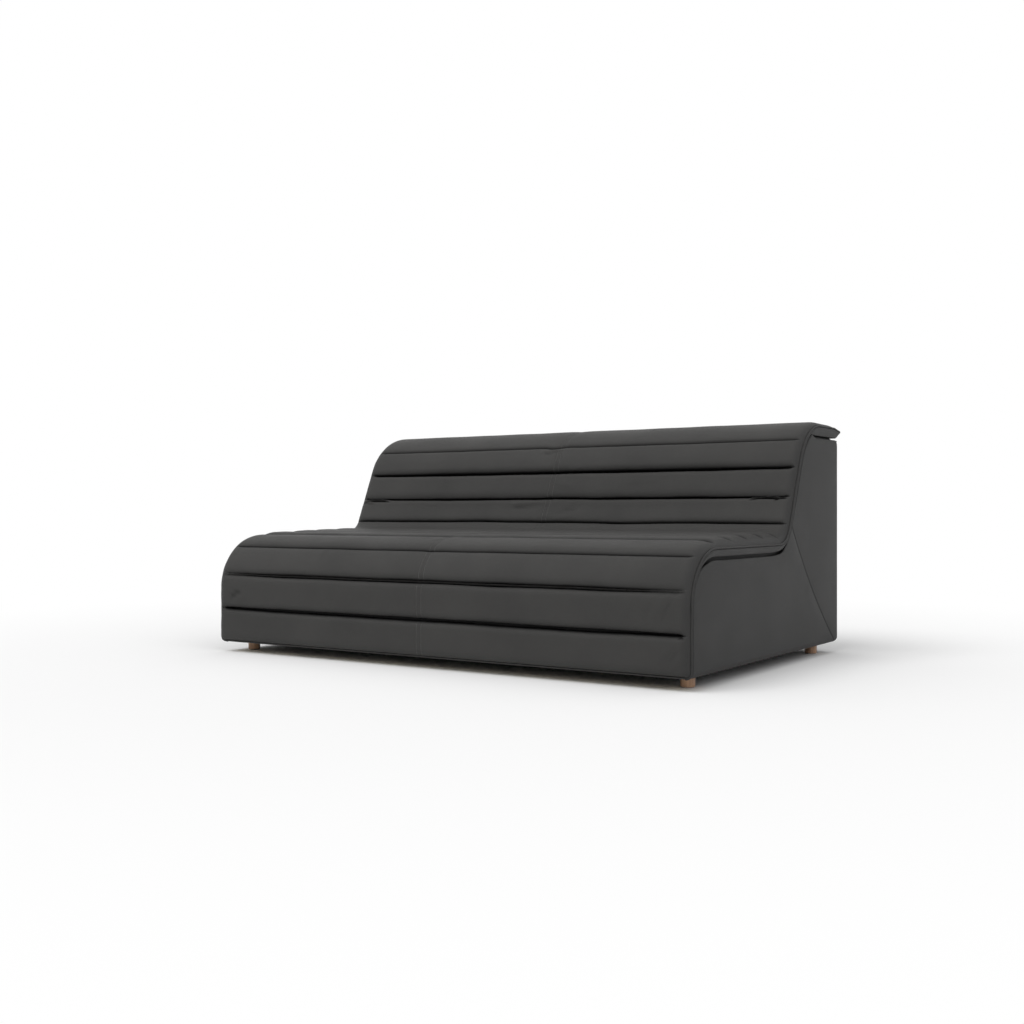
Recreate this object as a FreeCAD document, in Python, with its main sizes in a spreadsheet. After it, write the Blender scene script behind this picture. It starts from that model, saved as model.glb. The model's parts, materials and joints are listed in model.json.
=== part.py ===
import FreeCAD, Part
import math
import os
import Sketcher

# Armless lounge sofa with a channel-quilted leather cover.
# Millimetres. Origin on the floor under the middle of the sofa, front towards -Y, +Z up, +X
# towards the end that is on the right when the sofa is seen from the front.

doc = FreeCAD.newDocument("sofa")
sheet = doc.addObject("Spreadsheet::Sheet", "Dims")

DRIVING = [
    ("sofa_width", 1761, "over the welts at both ends"),
    ("body_depth", 1129, "front edge seam to the rear cover"),
    ("seat_rise", 341, "lower edge of the cover to the seat's edge seam"),
    ("back_rise", 722, "lower edge of the cover to the top edge seam"),
    ("seat_depth", 683, "front edge seam to where seat and back lines meet"),
    ("back_recline_angle", 23.2, "degrees from upright"),
    ("front_roll_radius", 155, "rounding from front face to seat"),
    ("crease_radius", 96, "hollow rounding from seat to back"),
    ("top_roll_radius", 198, "rounding from back to top"),
    ("flap_overhang", 26, "flap past the rear cover"),
    ("flap_lead", 58.8, "behind the top groove, where the flap leaves the body"),
    ("flap_thickness", 39, "top edge seam to the flap's underside"),
    ("flap_gap", 8, "air under the flap"),
    ("flap_tip_drop", 11, "top edge seam to the flap's rear seam"),
    ("flap_slope_length", 52, "brow of the flap, where it starts to slope, to its tip"),
    ("quilt_edge_thickness", 24, "thickness of the quilt at its edge seam"),
    ("front_crown", 12, "swell of the front channels past the edge seam"),
    ("roll_crown", 20, "swell of the channel on the front roll"),
    ("seat_crown", 31, "swell of the seat channels"),
    ("back_crown", 16, "swell of the back channels"),
    ("top_crown", 14, "swell of the top roll"),
    ("groove_depth", 14, "sewn groove below the lower channel beside it"),
    ("border_width", 30, "flat border between channel ends and edge seam"),
    ("seam_shift", 20, "centre seam left of the middle"),
    ("seam_draw", 6, "quilt drawn in along the centre seam"),
    ("front_groove_angle", 61.4, "degrees round the front roll to its last groove"),
    ("top_groove_angle", 24.2, "degrees round the top roll to its groove"),
    ("front_channel_count", 3, "channels below the groove on the front roll"),
    ("seat_channel_count", 6, "the last one lies in the crease"),
    ("back_channel_count", 3, "channels below the groove on the top roll"),
    ("welt_diameter", 5, "piping in the edge seam"),
    ("side_recess", 8, "side cover inside the welt"),
    ("cover_thickness", 10, "leather with its glued wadding"),
    ("rear_corner_radius", 20, "top rear corner of the rear cover"),
    ("side_seam_sag", 25, "bow of the slanting side seam"),
    ("foam_wrap_thickness", 40, "foam under the quilt"),
    ("soft_gap", 0.3, "clearance round soft pieces"),
    ("cover_turn", 3, "cover below the underside of the frame"),
    ("ply_thickness", 18, "plywood of panels and boards"),
    ("board_thickness", 22, "rear rails and top board"),
    ("rail_thickness", 45, "spring rails, front to back"),
    ("rail_height", 60, "spring rails, height"),
    ("web_rail_thickness", 30, "webbing rails, through the back"),
    ("web_rail_height", 50, "webbing rails, up the back"),
    ("rear_rail_height", 90, "rear bottom and middle rails"),
    ("rear_rail_level", 320, "rear middle rail above the frame's underside"),
    ("spring_deck_height", 180, "top of the spring rails above the cover's lower edge"),
    ("rear_rail_setback", 37, "seat corner to the rear spring rail"),
    ("stretcher_width", 64, "bottom stretchers"),
    ("stretcher_thickness", 30, "bottom stretchers"),
    ("centre_stretcher_height", 110, "middle stretcher"),
    ("post_width", 60, "rear posts"),
    ("post_count", 3, "count"),
    ("block_leg", 60, "corner blocks along each board"),
    ("block_height", 60, "corner blocks"),
    ("wire_diameter", 4, "seat spring wire"),
    ("spring_width", 46, "across one seat spring"),
    ("spring_pitch", 24, "leg to leg of a seat spring"),
    ("spring_count", 8, "count"),
    ("clip_lip", 3, "spring clips, in front of and behind the wire"),
    ("clip_thickness", 1.5, "spring clips, above and below the wire"),
    ("cloth_thickness", 2, "cloth over springs and under the frame"),
    ("web_width", 60, "back webbing"),
    ("web_thickness", 2, "back webbing"),
    ("web_count", 10, "count"),
    ("foot_rise", 34, "floor to the cover's lower edge"),
    ("foot_diameter", 40, "turned feet"),
    ("foot_chamfer", 2, "turned feet"),
    ("foot_side_inset", 60, "foot centre from the welt"),
    ("foot_front_inset", 95, "foot centre from the front edge seam"),
    ("foot_rear_inset", 86, "foot centre from the rear cover"),
    ("glide_thickness", 2, "felt glides"),
    ("bolt_diameter", 8, "hanger bolts"),
    ("bolt_in_foot", 20, "hanger bolt inside the foot"),
    ("nut_wall", 1.6, "barrel wall of the T-nuts"),
    ("nut_flange", 22, "flange diameter of the T-nuts"),
    ("nut_flange_thickness", 1.5, "T-nut flanges"),
    ("nut_barrel_length", 20, "T-nuts below the flange"),
    ("turn_gap", 0.1, "clearance round bolts, nuts and screws"),
    ("screw_diameter", 5, "frame screws"),
    ("screw_length", 60, "frame screws"),
    ("screw_head", 10, "frame screw heads"),
    ("screw_head_thickness", 3, "frame screw heads"),
]

for row, (alias, value, note) in enumerate(DRIVING, start=1):
    sheet.set(f"A{row}", str(value))
    sheet.setAlias(f"A{row}", alias)
    sheet.set(f"B{row}", note)
doc.recompute()


def cell(alias):
    """The number in a driving cell."""
    return float(sheet.get(alias))


def vector(x, y, z):
    return FreeCAD.Vector(x, y, z)


# Places that more than one piece is set out from
tip_y = cell("body_depth") + cell("flap_overhang")
brow_y = tip_y - cell("flap_slope_length")
mid_y = (tip_y - cell("front_crown")) / 2
gap = cell("soft_gap")
half_width = cell("sofa_width") / 2
quilt_end = half_width - cell("welt_diameter")
cover_face = half_width - cell("side_recess")
foam_end = cover_face - cell("cover_thickness") - gap
panel_inner = foam_end - cell("ply_thickness")
foam_out = cell("quilt_edge_thickness") + gap
foam_in = foam_out + cell("foam_wrap_thickness")
frame_in = foam_in + gap
rear_in = cell("body_depth") - cell("cover_thickness") - gap
under = cell("cover_turn")
body_top = cell("back_rise") - cell("flap_thickness") - cell("flap_gap")
frame_top = body_top - cell("cover_thickness") - gap
deck = cell("spring_deck_height")


def place(across, y, z):
    """A point from its distance behind the front edge seam and above the cover's lower edge."""
    return vector(across, y - mid_y, z + cell("foot_rise"))


class Outline:
    """The edge seam seen from the side: straight runs and tangent arcs from the front's lower
    edge, round the front roll, along the seat, up the back and over the top roll."""

    def __init__(self):
        lean = math.radians(90 - cell("back_recline_angle"))
        seat = cell("seat_rise")
        top = cell("back_rise")
        front = cell("front_roll_radius")
        crease = cell("crease_radius")
        roll = cell("top_roll_radius")
        hollow = crease * math.tan(lean / 2)
        shoulder = roll * math.tan(lean / 2)
        rise = (top - seat) / math.sin(lean)
        corner = cell("seat_depth")
        head = corner + (top - seat) / math.tan(lean)
        self.runs = []
        self.length = 0.0
        self.line((0, 0), math.pi / 2, seat - front)
        self.arc((front, seat - front), front, math.pi, math.pi / 2)
        self.line((front, seat), 0, corner - hollow - front)
        self.arc((corner - hollow, seat + crease), crease, -math.pi / 2, lean - math.pi / 2)
        foot = (corner + hollow * math.cos(lean), seat + hollow * math.sin(lean))
        self.line(foot, lean, rise - hollow - shoulder)
        self.arc((head + shoulder, top - roll), roll, lean + math.pi / 2, math.pi / 2)
        self.front_end = self.runs[0]["end"]
        self.crease_end = self.runs[3]["end"]
        self.back_end = self.runs[4]["end"]
        self.roll_end = self.runs[5]["end"]

    def line(self, start, heading, length):
        self.runs.append({"kind": "line", "at": start, "heading": heading,
                          "start": self.length, "end": self.length + length})
        self.length += length

    def arc(self, centre, radius, first, last):
        self.runs.append({"kind": "arc", "at": centre, "radius": radius, "first": first,
                          "turn": 1 if last > first else -1,
                          "start": self.length, "end": self.length + radius * abs(last - first)})
        self.length += radius * abs(last - first)

    def spot(self, along, out=0.0):
        """The point this far along the outline and this far outside it."""
        for run in self.runs:
            if along <= run["end"] + 1e-9 or run is self.runs[-1]:
                break
        went = along - run["start"]
        if run["kind"] == "line":
            heading = run["heading"]
            y = run["at"][0] + went * math.cos(heading) - out * math.sin(heading)
            z = run["at"][1] + went * math.sin(heading) + out * math.cos(heading)
            return y, z
        angle = run["first"] + run["turn"] * went / run["radius"]
        reach = run["radius"] - run["turn"] * out
        return run["at"][0] + reach * math.cos(angle), run["at"][1] + reach * math.sin(angle)

    def edges(self, across, first, last, out):
        """The outline between two lengths along it, as lines and arcs at a distance outside."""
        found = []
        for run in self.runs:
            begin = max(first, run["start"])
            end = min(last, run["end"])
            if end - begin < 1e-6:
                continue
            ends = [place(across, *self.spot(begin + 1e-9, out)), place(across, *self.spot(end, out))]
            if run["kind"] == "line":
                found.append(Part.makeLine(*ends))
            else:
                middle = place(across, *self.spot((begin + end) / 2, out))
                found.append(Part.Arc(ends[0], middle, ends[1]).toShape())
        return found


outline = Outline()
subparts = []


def solid_piece(label, shape, kept=True):
    """A sub-part whose form is drawn straight from the outline."""
    piece = doc.addObject("Part::Feature", label)
    piece.Label = label
    piece.Shape = shape
    piece.Placement = FreeCAD.Placement()
    if kept:
        subparts.append(piece)
    return piece


def board(label, sizes, corner, turn=0.0, kept=True):
    """A plain board with its sizes bound to the sheet, or given where one is worked out."""
    piece = doc.addObject("Part::Box", label)
    piece.Label = label
    for side, size in zip(("Length", "Width", "Height"), sizes):
        if isinstance(size, str):
            piece.setExpression(side, size)
        else:
            setattr(piece, side, size)
    piece.Placement = FreeCAD.Placement(corner, FreeCAD.Rotation(vector(1, 0, 0), turn))
    if kept:
        subparts.append(piece)
    return piece


def closed(edges):
    """A wire from edges in order, with straight edges across any gaps between them."""
    chain = []
    for number, edge in enumerate(edges):
        chain.append(edge)
        leave = edge.lastVertex(True).Point
        enter = edges[(number + 1) % len(edges)].firstVertex(True).Point
        if leave.distanceToPoint(enter) > 1e-5:
            chain.append(Part.makeLine(leave, enter))
    return Part.Wire(Part.__sortEdges__(chain))


def backwards(edges):
    """The same edges run the other way."""
    return [edge.reversed() for edge in reversed(edges)]


def slab(edges, width):
    """A flat shape with this outline, as thick as width towards +X."""
    return Part.Face(closed(edges)).extrude(vector(width, 0, 0))


def straight(*points):
    """Straight edges through places."""
    return [Part.makeLine(one, two) for one, two in zip(points, points[1:])]


def bow(one, middle, two):
    """An arc through three places, or a straight edge where they lie in line."""
    if (middle - one).cross(two - one).Length < 1e-3 * one.distanceToPoint(two):
        return Part.makeLine(one, two)
    return Part.Arc(one, middle, two).toShape()


# Channel-quilted leather pads. Each is a leather face sewn through its padding to a backing,
# so every channel bulges between two sewn grooves. A seam near the middle joins two halves.

front_count = int(cell("front_channel_count"))
seat_count = int(cell("seat_channel_count"))
back_count = int(cell("back_channel_count"))
FRONT_GROOVE = (outline.front_end + cell("front_roll_radius")
                * math.radians(cell("front_groove_angle")))
TOP_GROOVE = outline.back_end + cell("top_roll_radius") * math.radians(cell("top_groove_angle"))
flap_start = outline.spot(TOP_GROOVE, -cell("quilt_edge_thickness"))[0] + cell("flap_lead")


def evenly(first, last, count):
    """Even lengths along the outline after first, up to last."""
    return [first + (last - first) * number / count for number in range(1, count + 1)]


groove_lines = [0.0]
groove_lines += evenly(0.0, FRONT_GROOVE, front_count)
groove_lines += evenly(FRONT_GROOVE, outline.crease_end, seat_count)
groove_lines += evenly(outline.crease_end, TOP_GROOVE, back_count)
crowns = [cell("front_crown")] * (front_count - 1) + [cell("roll_crown")]
crowns += [cell("seat_crown")] * seat_count
crowns += [cell("back_crown")] * back_count
crowns.append(cell("top_crown"))
groove_tops = [0.0] + [min(pair) - cell("groove_depth") for pair in zip(crowns, crowns[1:])]

# Sections of a half from its end inwards: share of the border, of the swell and of the groove
END_ROUNDING = [(0.0, 0.0, 0.0), (0.15, 0.45, 0.0), (0.5, 0.85, 0.2), (1.0, 1.0, 1.0)]


def half_sections(side):
    """Where one half's sections stand, with the swell, groove and draw of each."""
    found = []
    for share, swell, groove in END_ROUNDING:
        found.append((side * (quilt_end - share * cell("border_width")), swell, groove, 0.0))
    seam = -cell("seam_shift") + side * gap / 2
    found.append((seam + side * 2 * cell("seam_draw"), 1.0, 1.0, 0.0))
    found.append((seam, 1.0, 1.0, cell("seam_draw")))
    return found


def crest(channel, swell, drawn):
    return crowns[channel] * swell - drawn


def valley(line, swell, groove, drawn):
    """The height of a sewn groove at a section, no higher than the channels beside it."""
    beside = [crest(number, swell, drawn) for number in (line - 1, line) if number >= 0]
    return min(beside) * (1 - groove) + (groove_tops[line] - drawn) * groove


def quilt_section(section, first, last):
    """The closed outline of channels first to last at one place across."""
    across, swell, groove, drawn = section
    begin = groove_lines[first] + gap / 2
    end = groove_lines[last + 1] - gap / 2
    edges = []
    for number in range(first, last + 1):
        start = begin if number == first else groove_lines[number]
        stop = end if number == last else groove_lines[number + 1]
        edges.append(bow(place(across, *outline.spot(start, valley(number, swell, groove, drawn))),
                         place(across, *outline.spot((start + stop) / 2, crest(number, swell, drawn))),
                         place(across, *outline.spot(stop, valley(number + 1, swell, groove, drawn)))))
    edges += backwards(outline.edges(across, begin, end, -cell("quilt_edge_thickness")))
    return closed(edges)


def about_roll(one, two):
    """The place half-way round the top roll's centre between two places."""
    centre = outline.runs[5]["at"]
    angles = [math.atan2(spot[1] - centre[1], spot[0] - centre[0]) for spot in (one, two)]
    reach = sum(math.hypot(spot[0] - centre[0], spot[1] - centre[1]) for spot in (one, two)) / 2
    turn = sum(angles) / 2
    return centre[0] + reach * math.cos(turn), centre[1] + reach * math.sin(turn)


def roof_under(start, out):
    """The top roll's underside from its groove to where the flap leaves the body."""
    low = outline.spot(start, -out)
    below = out - cell("quilt_edge_thickness")
    high = (flap_start, cell("back_rise") - cell("flap_thickness") - below)
    return low, about_roll(low, high), high


def top_section(section):
    """The closed outline of the top roll and its flap at one place across."""
    across, swell, groove, drawn = section
    channel = len(crowns) - 1
    start = TOP_GROOVE + gap / 2
    height = crest(channel, swell, drawn)
    low = outline.spot(start, valley(channel, swell, groove, drawn))
    middle = outline.spot((start + outline.roll_end) / 2, height)
    high = outline.spot(outline.roll_end, height)
    brow = (brow_y, high[1] - cell("flap_tip_drop") / 2)
    between = ((high[0] + brow[0]) / 2, high[1])
    tip = (tip_y, cell("back_rise") - cell("flap_tip_drop"))
    lip = (cell("body_depth"), cell("back_rise") - cell("flap_thickness"))
    under_low, under_middle, under_high = roof_under(start, cell("quilt_edge_thickness"))
    edges = [bow(place(across, *low), place(across, *middle), place(across, *high)),
             bow(place(across, *high), place(across, *between), place(across, *brow))]
    edges += straight(*[place(across, *spot) for spot in (brow, tip, lip, under_high)])
    edges.append(bow(place(across, *under_high), place(across, *under_middle),
                     place(across, *under_low)))
    return closed(edges)


first_seat = front_count
first_back = front_count + seat_count
top_channel = len(crowns) - 1
for word, side in (("right", 1), ("left", -1)):
    sections = half_sections(side)
    solid_piece(f"front_quilt_{word}", Part.makeLoft(
        [quilt_section(one, 0, first_seat - 1) for one in sections], True, True))
    solid_piece(f"seat_quilt_{word}", Part.makeLoft(
        [quilt_section(one, first_seat, first_back - 1) for one in sections], True, True))
    solid_piece(f"back_quilt_{word}", Part.makeLoft(
        [quilt_section(one, first_back, top_channel - 1) for one in sections], True, True))
    solid_piece(f"top_roll_quilt_{word}", Part.makeLoft(
        [top_section(one) for one in sections], True, True))

# Leather-covered piping sewn into the edge seam at each end, from the hem to the flap's tip.

welt_radius = cell("welt_diameter") / 2
for word, side in (("right", 1), ("left", -1)):
    line = side * (half_width - welt_radius)
    path = outline.edges(line, 0.0, outline.roll_end, -welt_radius)
    leave = path[-1].lastVertex(True).Point
    brow = place(line, brow_y, cell("back_rise") - welt_radius)
    path.append(Part.makeLine(leave, brow))
    spine = Part.Wire(Part.__sortEdges__(path))
    ring = Part.Wire(Part.Circle(spine.Vertexes[0].Point, vector(0, 0, 1), welt_radius).toShape())
    solid_piece(f"edge_welt_{word}", spine.makePipeShell([ring], True, False))

# Foam under the quilt: a wrap of one thickness, cut where the quilt's own parts meet, and a
# firmer seat core over the springs between the side panels.


def wrap(begin, end):
    """The closed outline of foam between two lengths along the edge seam."""
    edges = outline.edges(-foam_end, begin, end, -foam_out)
    return closed(edges + backwards(outline.edges(-foam_end, begin, end, -foam_in)))


def head_line(along):
    """Where a square cut through the edge seam meets the foam's straight back at the head."""
    near = outline.spot(along, 0.0)
    far = outline.spot(along, -foam_in)
    one = outline.spot(outline.back_end, -foam_in)
    two = (flap_start, frame_top + gap)
    cut = (far[0] - near[0], far[1] - near[1])
    run = (two[0] - one[0], two[1] - one[1])
    across = cut[0] * run[1] - cut[1] * run[0]
    share = ((one[0] - near[0]) * run[1] - (one[1] - near[1]) * run[0]) / across
    return near[0] + share * cut[0], near[1] + share * cut[1]


def foam_piece(label, wire, across):
    return solid_piece(label, Part.Face(wire).extrude(vector(2 * across, 0, 0)))


foam_piece("front_foam", wrap(under, FRONT_GROOVE - gap / 2), foam_end)
foam_piece("seat_topper", wrap(FRONT_GROOVE + gap / 2, outline.crease_end - gap / 2), foam_end)

back_start = outline.crease_end + gap / 2
back_stop = TOP_GROOVE - gap / 2
back_edges = outline.edges(-foam_end, back_start, back_stop, -foam_out)
back_edges += straight(place(-foam_end, *outline.spot(back_stop, -foam_out)),
                       place(-foam_end, *head_line(back_stop)),
                       place(-foam_end, *outline.spot(outline.back_end, -foam_in)),
                       place(-foam_end, *outline.spot(back_start, -foam_in)))
foam_piece("back_foam", closed(back_edges), foam_end)

top_start = TOP_GROOVE + gap / 2
under_low, under_middle, under_high = roof_under(top_start, foam_out)
top_edges = [bow(place(-foam_end, *under_low), place(-foam_end, *under_middle),
                 place(-foam_end, *under_high))]
top_edges += straight(place(-foam_end, *under_high),
                      place(-foam_end, flap_start, frame_top + gap),
                      place(-foam_end, *head_line(top_start)))
foam_piece("top_roll_foam", closed(top_edges), foam_end)

# Seat core: foam that fills the seat from the springs up to the topper, between the panels.

slot_height = cell("wire_diameter") + 2 * cell("turn_gap")
clip_top = deck + slot_height + 2 * cell("clip_thickness")
cloth_low = clip_top + gap
core_low = cloth_low + cell("cloth_thickness") + gap
core_out = foam_in + gap
core_end = panel_inner - gap
roll = cell("front_roll_radius")
roll_reach = roll - core_out
roll_drop = max(core_low - (cell("seat_rise") - roll), 0.0)
core_start = outline.front_end + roll * math.asin(roll_drop / roll_reach)
core_edges = outline.edges(-core_end, core_start, outline.crease_end, -core_out)
core_rear = outline.spot(outline.crease_end, -core_out)
core_front = outline.spot(core_start, -core_out)
core_edges += straight(place(-core_end, *core_rear), place(-core_end, core_rear[0], core_low),
                       place(-core_end, core_front[0], core_low))
foam_piece("seat_core", closed(core_edges), core_end)

# Side covers: leather over wadding, in a front piece and a rear gore joined by a slanting seam
# that bows from the crease down to the lower rear corner.

seam_top = outline.spot(outline.crease_end, -foam_out)
seam_foot = (rear_in, under)
slope = math.atan2(seam_foot[1] - seam_top[1], seam_foot[0] - seam_top[0])


def side_seam(across, shift):
    """The slanting seam moved square to itself by shift, from the crease to the rear corner."""
    aside = (-math.sin(slope), math.cos(slope))
    middle = [(one + two) / 2 for one, two in zip(seam_top, seam_foot)]
    spots = [(spot[0] + aside[0] * move, spot[1] + aside[1] * move) for spot, move in
             ((seam_top, shift), (middle, shift - cell("side_seam_sag")), (seam_foot, shift))]
    return bow(*[place(across, *spot) for spot in spots])


corner = cell("rear_corner_radius")
rear = cell("body_depth")
for word, side in (("right", 1), ("left", -1)):
    inner = side * cover_face if side < 0 else foam_end + gap
    front_seam = side_seam(inner, 0.0)
    front_edges = outline.edges(inner, 0.0, outline.crease_end, -foam_out)
    front_edges.append(front_seam)
    front_edges += straight(front_seam.lastVertex().Point, place(inner, rear_in, 0.0),
                            place(inner, foam_out, 0.0))
    solid_piece(f"side_cover_{word}", slab(front_edges, cell("cover_thickness")))

    rear_seam = side_seam(inner, gap)
    under_low, under_middle, under_high = roof_under(TOP_GROOVE, foam_out)
    gore_start = outline.crease_end + gap
    gore_edges = outline.edges(inner, gore_start, TOP_GROOVE, -foam_out)
    gore_edges.append(bow(place(inner, *under_low), place(inner, *under_middle),
                          place(inner, *under_high)))
    gore_edges += straight(place(inner, *under_high), place(inner, flap_start, body_top),
                           place(inner, rear - corner, body_top))
    arc_middle = (rear - corner * (1 - math.sqrt(0.5)), body_top - corner * (1 - math.sqrt(0.5)))
    gore_edges.append(bow(place(inner, rear - corner, body_top), place(inner, *arc_middle),
                          place(inner, rear, body_top - corner)))
    gore_edges += straight(place(inner, rear, body_top - corner), place(inner, rear, 0.0),
                           place(inner, rear_in + gap, 0.0), rear_seam.lastVertex().Point)
    gore_edges.append(backwards([rear_seam])[0])
    solid_piece(f"side_gore_{word}", slab(gore_edges, cell("cover_thickness")))

# Rear cover: leather over wadding up the back of the frame, turned over its top corner and
# run forward under the flap.

rear_edges = straight(place(-foam_end, rear_in + gap, 0.0), place(-foam_end, rear, 0.0),
                      place(-foam_end, rear, body_top - corner))
rear_edges.append(bow(place(-foam_end, rear, body_top - corner), place(-foam_end, *arc_middle),
                      place(-foam_end, rear - corner, body_top)))
rear_edges += straight(place(-foam_end, rear - corner, body_top),
                       place(-foam_end, flap_start + gap, body_top),
                       place(-foam_end, flap_start + gap, body_top - cell("cover_thickness")),
                       place(-foam_end, rear_in + gap, body_top - cell("cover_thickness")))
foam_piece("rear_cover", closed(rear_edges), foam_end)

# Side panels: one plywood sheet at each end, cut to the edge seam's shape less the foam and
# quilt, with holes for the frame screws.

PANEL_SPAN = ("(Dims.sofa_width - 2 * (Dims.side_recess + Dims.cover_thickness + Dims.soft_gap"
              " + Dims.ply_thickness))")


def panel_edges():
    """The side panel's outline in its own sketch: y across the sheet, z up it."""
    edges = outline.edges(0.0, under, outline.back_end, -frame_in)
    head = outline.spot(outline.back_end, -frame_in)
    return edges + straight(place(0.0, *head), place(0.0, flap_start, frame_top),
                            place(0.0, rear_in, frame_top), place(0.0, rear_in, under),
                            place(0.0, frame_in, under))


# Rails between the panels: label, alias of thickness through, alias of height, corner, turn
lean = cell("back_recline_angle")
head_one = outline.spot(outline.back_end, -frame_in)
head_turn = math.degrees(math.atan2(flap_start - head_one[0], frame_top - head_one[1]))
head_length = math.hypot(flap_start - head_one[0], frame_top - head_one[1])
web_back = frame_in + cell("web_thickness")
front_board_back = frame_in + cell("ply_thickness")
rear_rail_front = cell("seat_depth") + cell("rear_rail_setback")
web_low = outline.crease_end + cell("ply_thickness")
head_drop = cell("ply_thickness") * math.sin(math.radians(head_turn - lean))
web_high = outline.back_end - cell("web_rail_height") - max(head_drop, 0.0) - gap
upright = cell("board_thickness")


def rail(label, thick, tall, y, z, turn=0.0):
    """A rail from panel to panel, its lower front corner at y, z, leaning back by turn."""
    return board(label, (PANEL_SPAN, thick, tall), place(-panel_inner, y, z), -turn, kept=False)


front_height = "Dims.seat_rise - Dims.front_roll_radius - Dims.cover_turn"
rails = [
    rail("front_board", "Dims.ply_thickness", front_height, frame_in, under),
    rail("front_spring_rail", "Dims.rail_thickness", "Dims.rail_height",
         front_board_back, deck - cell("rail_height")),
    rail("rear_spring_rail", "Dims.rail_thickness", "Dims.rail_height",
         rear_rail_front, deck - cell("rail_height")),
    rail("lower_webbing_rail", "Dims.web_rail_thickness", "Dims.web_rail_height",
         *outline.spot(web_low, -web_back), lean),
    rail("upper_webbing_rail", "Dims.web_rail_thickness", "Dims.web_rail_height",
         *outline.spot(web_high, -web_back), lean),
    rail("top_board", rear_in - flap_start, "Dims.board_thickness",
         flap_start, frame_top - upright),
    rail("rear_bottom_rail", "Dims.board_thickness", "Dims.rear_rail_height", rear_in - upright, under),
    rail("rear_middle_rail", "Dims.board_thickness", "Dims.rear_rail_height",
         rear_in - upright, under + cell("rear_rail_level")),
]
doc.recompute()

# Frame screws: driven through each side panel into the rails' ends, with their heads let in.

screw_length = cell("screw_length")
head_thickness = cell("screw_head_thickness")
panel_face = panel_inner + cell("ply_thickness")


def screw(side, y, z, spare):
    """A screw, or the hole for it where spare is its clearance."""
    facing = vector(-side, 0, 0)
    shank = Part.makeCylinder(cell("screw_diameter") / 2 + spare, screw_length + spare,
                              vector(side * panel_face, y, z), facing)
    head = Part.makeCylinder(cell("screw_head") / 2 + spare, head_thickness + spare,
                             vector(side * panel_face, y, z), facing)
    return shank.fuse(head).removeSplitter()


def screw_spots(piece):
    """Two places on a rail's end section, a quarter of its longer side from the middle."""
    middle = piece.Shape.CenterOfMass
    deep, tall = float(piece.Width), float(piece.Height)
    along = vector(0, 1, 0) if deep > tall else vector(0, 0, 1)
    step = piece.Placement.Rotation.multVec(along) * max(deep, tall) / 4
    return [middle - step, middle + step]


screws, holes = [], []
for piece in rails:
    for spot in screw_spots(piece):
        for side in (1, -1):
            screws.append(screw(side, spot.y, spot.z, 0.0))
            holes.append(screw(side, spot.y, spot.z, cell("turn_gap")))
holes_tool = solid_piece("screw_holes", Part.makeCompound(holes), kept=False)
solid_piece("frame_screws", Part.makeCompound(screws))


def drilled(label, piece, tool):
    """A piece with holes cut in it."""
    cut = doc.addObject("Part::Cut", label)
    cut.Base = piece
    cut.Tool = tool
    piece.Label = f"{label} blank"
    cut.Label = label
    subparts.append(cut)
    return cut


for piece in rails:
    drilled(piece.Label, piece, holes_tool)

for word, side in (("right", 1), ("left", -1)):
    body = doc.addObject("PartDesign::Body", f"panel_{word}_body")
    sketch = body.newObject("Sketcher::SketchObject", f"panel_{word}_outline")
    plane = [one for one in body.Origin.OriginFeatures if one.Role == "YZ_Plane"][0]
    sketch.AttachmentSupport = [(plane, "")]
    sketch.MapMode = "FlatFace"
    for edge in panel_edges():
        ends = [vector(point.y, point.z, 0) for point in
                (edge.firstVertex(True).Point, edge.lastVertex(True).Point)]
        if edge.Curve.TypeId == "Part::GeomLine":
            sketch.addGeometry(Part.LineSegment(*ends))
        else:
            first, last = edge.ParameterRange
            middle = edge.valueAt((first + last) / 2)
            sketch.addGeometry(Part.Arc(ends[0], vector(middle.y, middle.z, 0), ends[1]))
    count = len(sketch.Geometry)
    for number in range(count):
        sketch.addConstraint(Sketcher.Constraint("Block", number))
    pad = body.newObject("PartDesign::Pad", f"panel_{word}_sheet")
    pad.Profile = sketch
    pad.setExpression("Length", "Dims.ply_thickness")
    body.Placement = FreeCAD.Placement(
        vector(panel_inner if side > 0 else -panel_face, 0, 0), FreeCAD.Rotation())
    doc.recompute()
    drilled(f"side_panel_{word}", body, holes_tool)

# Lower frame: a stretcher along each side panel that the feet screw into, one in the middle,
# glue blocks in the corners and posts up the back.

foot_spots = {}
for word, side in (("right", 1), ("left", -1)):
    across = side * (half_width - cell("foot_side_inset"))
    foot_spots[f"front_{word}"] = (across, cell("foot_front_inset"))
    foot_spots[f"rear_{word}"] = (across, rear - cell("foot_rear_inset"))

barrel = cell("bolt_diameter") / 2 + cell("turn_gap") + cell("nut_wall")
barrel_holes = [Part.makeCylinder(barrel + cell("turn_gap"), cell("stretcher_thickness"),
                                  place(across, y, under)) for across, y in foot_spots.values()]
barrel_tool = solid_piece("nut_holes", Part.makeCompound(barrel_holes), kept=False)
SIDE_SPAN = ("(Dims.body_depth - Dims.cover_thickness - 3 * Dims.soft_gap - Dims.board_thickness"
             " - Dims.quilt_edge_thickness - Dims.foam_wrap_thickness - Dims.ply_thickness)")
stretcher_y = front_board_back
for word, side in (("right", 1), ("left", -1)):
    left_face = panel_inner - cell("stretcher_width") if side > 0 else -panel_inner
    blank = board(f"bottom_stretcher_{word}",
                  ("Dims.stretcher_width", SIDE_SPAN, "Dims.stretcher_thickness"),
                  place(left_face, stretcher_y, under), kept=False)
    drilled(f"bottom_stretcher_{word}", blank, barrel_tool)

board("centre_stretcher", ("Dims.ply_thickness", f"{SIDE_SPAN} - Dims.board_thickness",
                           "Dims.centre_stretcher_height"),
      place(-cell("ply_thickness") / 2, stretcher_y, under))

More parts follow.
